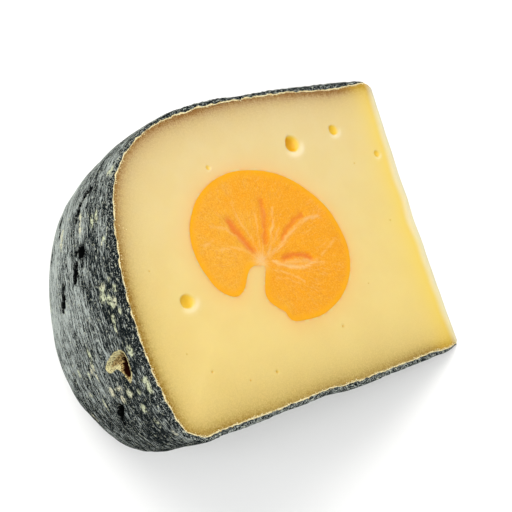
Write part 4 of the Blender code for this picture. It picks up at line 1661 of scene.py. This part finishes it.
# %% Floor and lights
FLOOR_SIZE = 3.0
floor_material, tree, shader = new_material("matt_white_paint")
position = add_node(tree, "ShaderNodeTexCoord", None, (), "Object")
tone = add_node(tree, "ShaderNodeTexNoise", None, {"Vector": position, "Scale": 6.0})
fill(tree, shader, {
    "Base Color": layered(tree, linear("#F4F4F3"), (tone, "#F8F8F7")),
    "Roughness": 0.8,
})
half = FLOOR_SIZE / 2
floor_mesh = bpy.data.meshes.new("floor")
floor_mesh.from_pydata(
    [(-half, -half, 0.0), (half, -half, 0.0), (half, half, 0.0), (-half, half, 0.0)],
    [], [(0, 1, 2, 3)],
)
floor_mesh.materials.append(floor_material)
floor = new_object("floor", floor_mesh)


def add_light(name, place, size, watts, colour="#FFFFFF"):
    """A square soft light that faces the wedge."""
    lamp = bpy.data.lights.new(name, "AREA")
    lamp.energy = watts
    lamp.size = size
    lamp.color = linear(colour)[:3]
    thing = bpy.data.objects.new(name, lamp)
    thing.location = place
    aim = Vector((0.0, 0.0, 0.03)) - Vector(place)
    thing.rotation_euler = aim.to_track_quat("-Z", "Y").to_euler()
    bpy.context.scene.collection.objects.link(thing)


add_light("key", (0.05, 0.55, 0.75), 0.5, 5.0, "#FFFDF8")
add_light("overhead", (0.15, -0.1, 0.95), 0.7, 4.5)
add_light("rind_side", (-0.75, 0.1, 0.35), 0.5, 2.0, "#F6FAFF")
world = bpy.data.worlds.new("studio")
bpy.context.scene.world = world
world.use_nodes = True
world.node_tree.nodes["Background"].inputs["Color"].default_value = linear("#FFFFFF")
world.node_tree.nodes["Background"].inputs["Strength"].default_value = 0.45
bpy.context.scene.view_settings.view_transform = "Standard"

# %% [markdown]
# ## Camera
#
# The photo looks down on the wedge from almost straight above, turned a little. The camera aims at
# a point of the cut face, from a distance and a direction, and rolls about its own view line.

# %% Camera
AIM = Vector((9.76, -1.35, 44.34)) * MM
CAMERA_DISTANCE = 311.4 * MM
CAMERA_AZIMUTH = math.radians(-50.2)
CAMERA_HEIGHT_ANGLE = math.radians(84.96)
CAMERA_ROLL = math.radians(18.31)
LENS_MM = 86.83
backward = Vector((
    math.cos(CAMERA_HEIGHT_ANGLE) * math.cos(CAMERA_AZIMUTH),
    math.cos(CAMERA_HEIGHT_ANGLE) * math.sin(CAMERA_AZIMUTH),
    math.sin(CAMERA_HEIGHT_ANGLE),
))
level_up = Vector((0.0, 1.0, 0.0))
level_up = (level_up - backward * level_up.dot(backward)).normalized()
level_right = level_up.cross(backward)
camera_up = level_up * math.cos(CAMERA_ROLL) + level_right * math.sin(CAMERA_ROLL)
camera_right = camera_up.cross(backward)
camera_data = bpy.data.cameras.new("photo_view")
camera_data.lens = LENS_MM
camera = bpy.data.objects.new("photo_view", camera_data)
turn = Matrix((camera_right, camera_up, backward)).transposed().to_4x4()
camera.matrix_world = Matrix.Translation(AIM + backward * CAMERA_DISTANCE) @ turn
bpy.context.scene.collection.objects.link(camera)
bpy.context.scene.camera = camera
print("Camera at", [round(c / MM, 1) for c in camera.location], "mm")
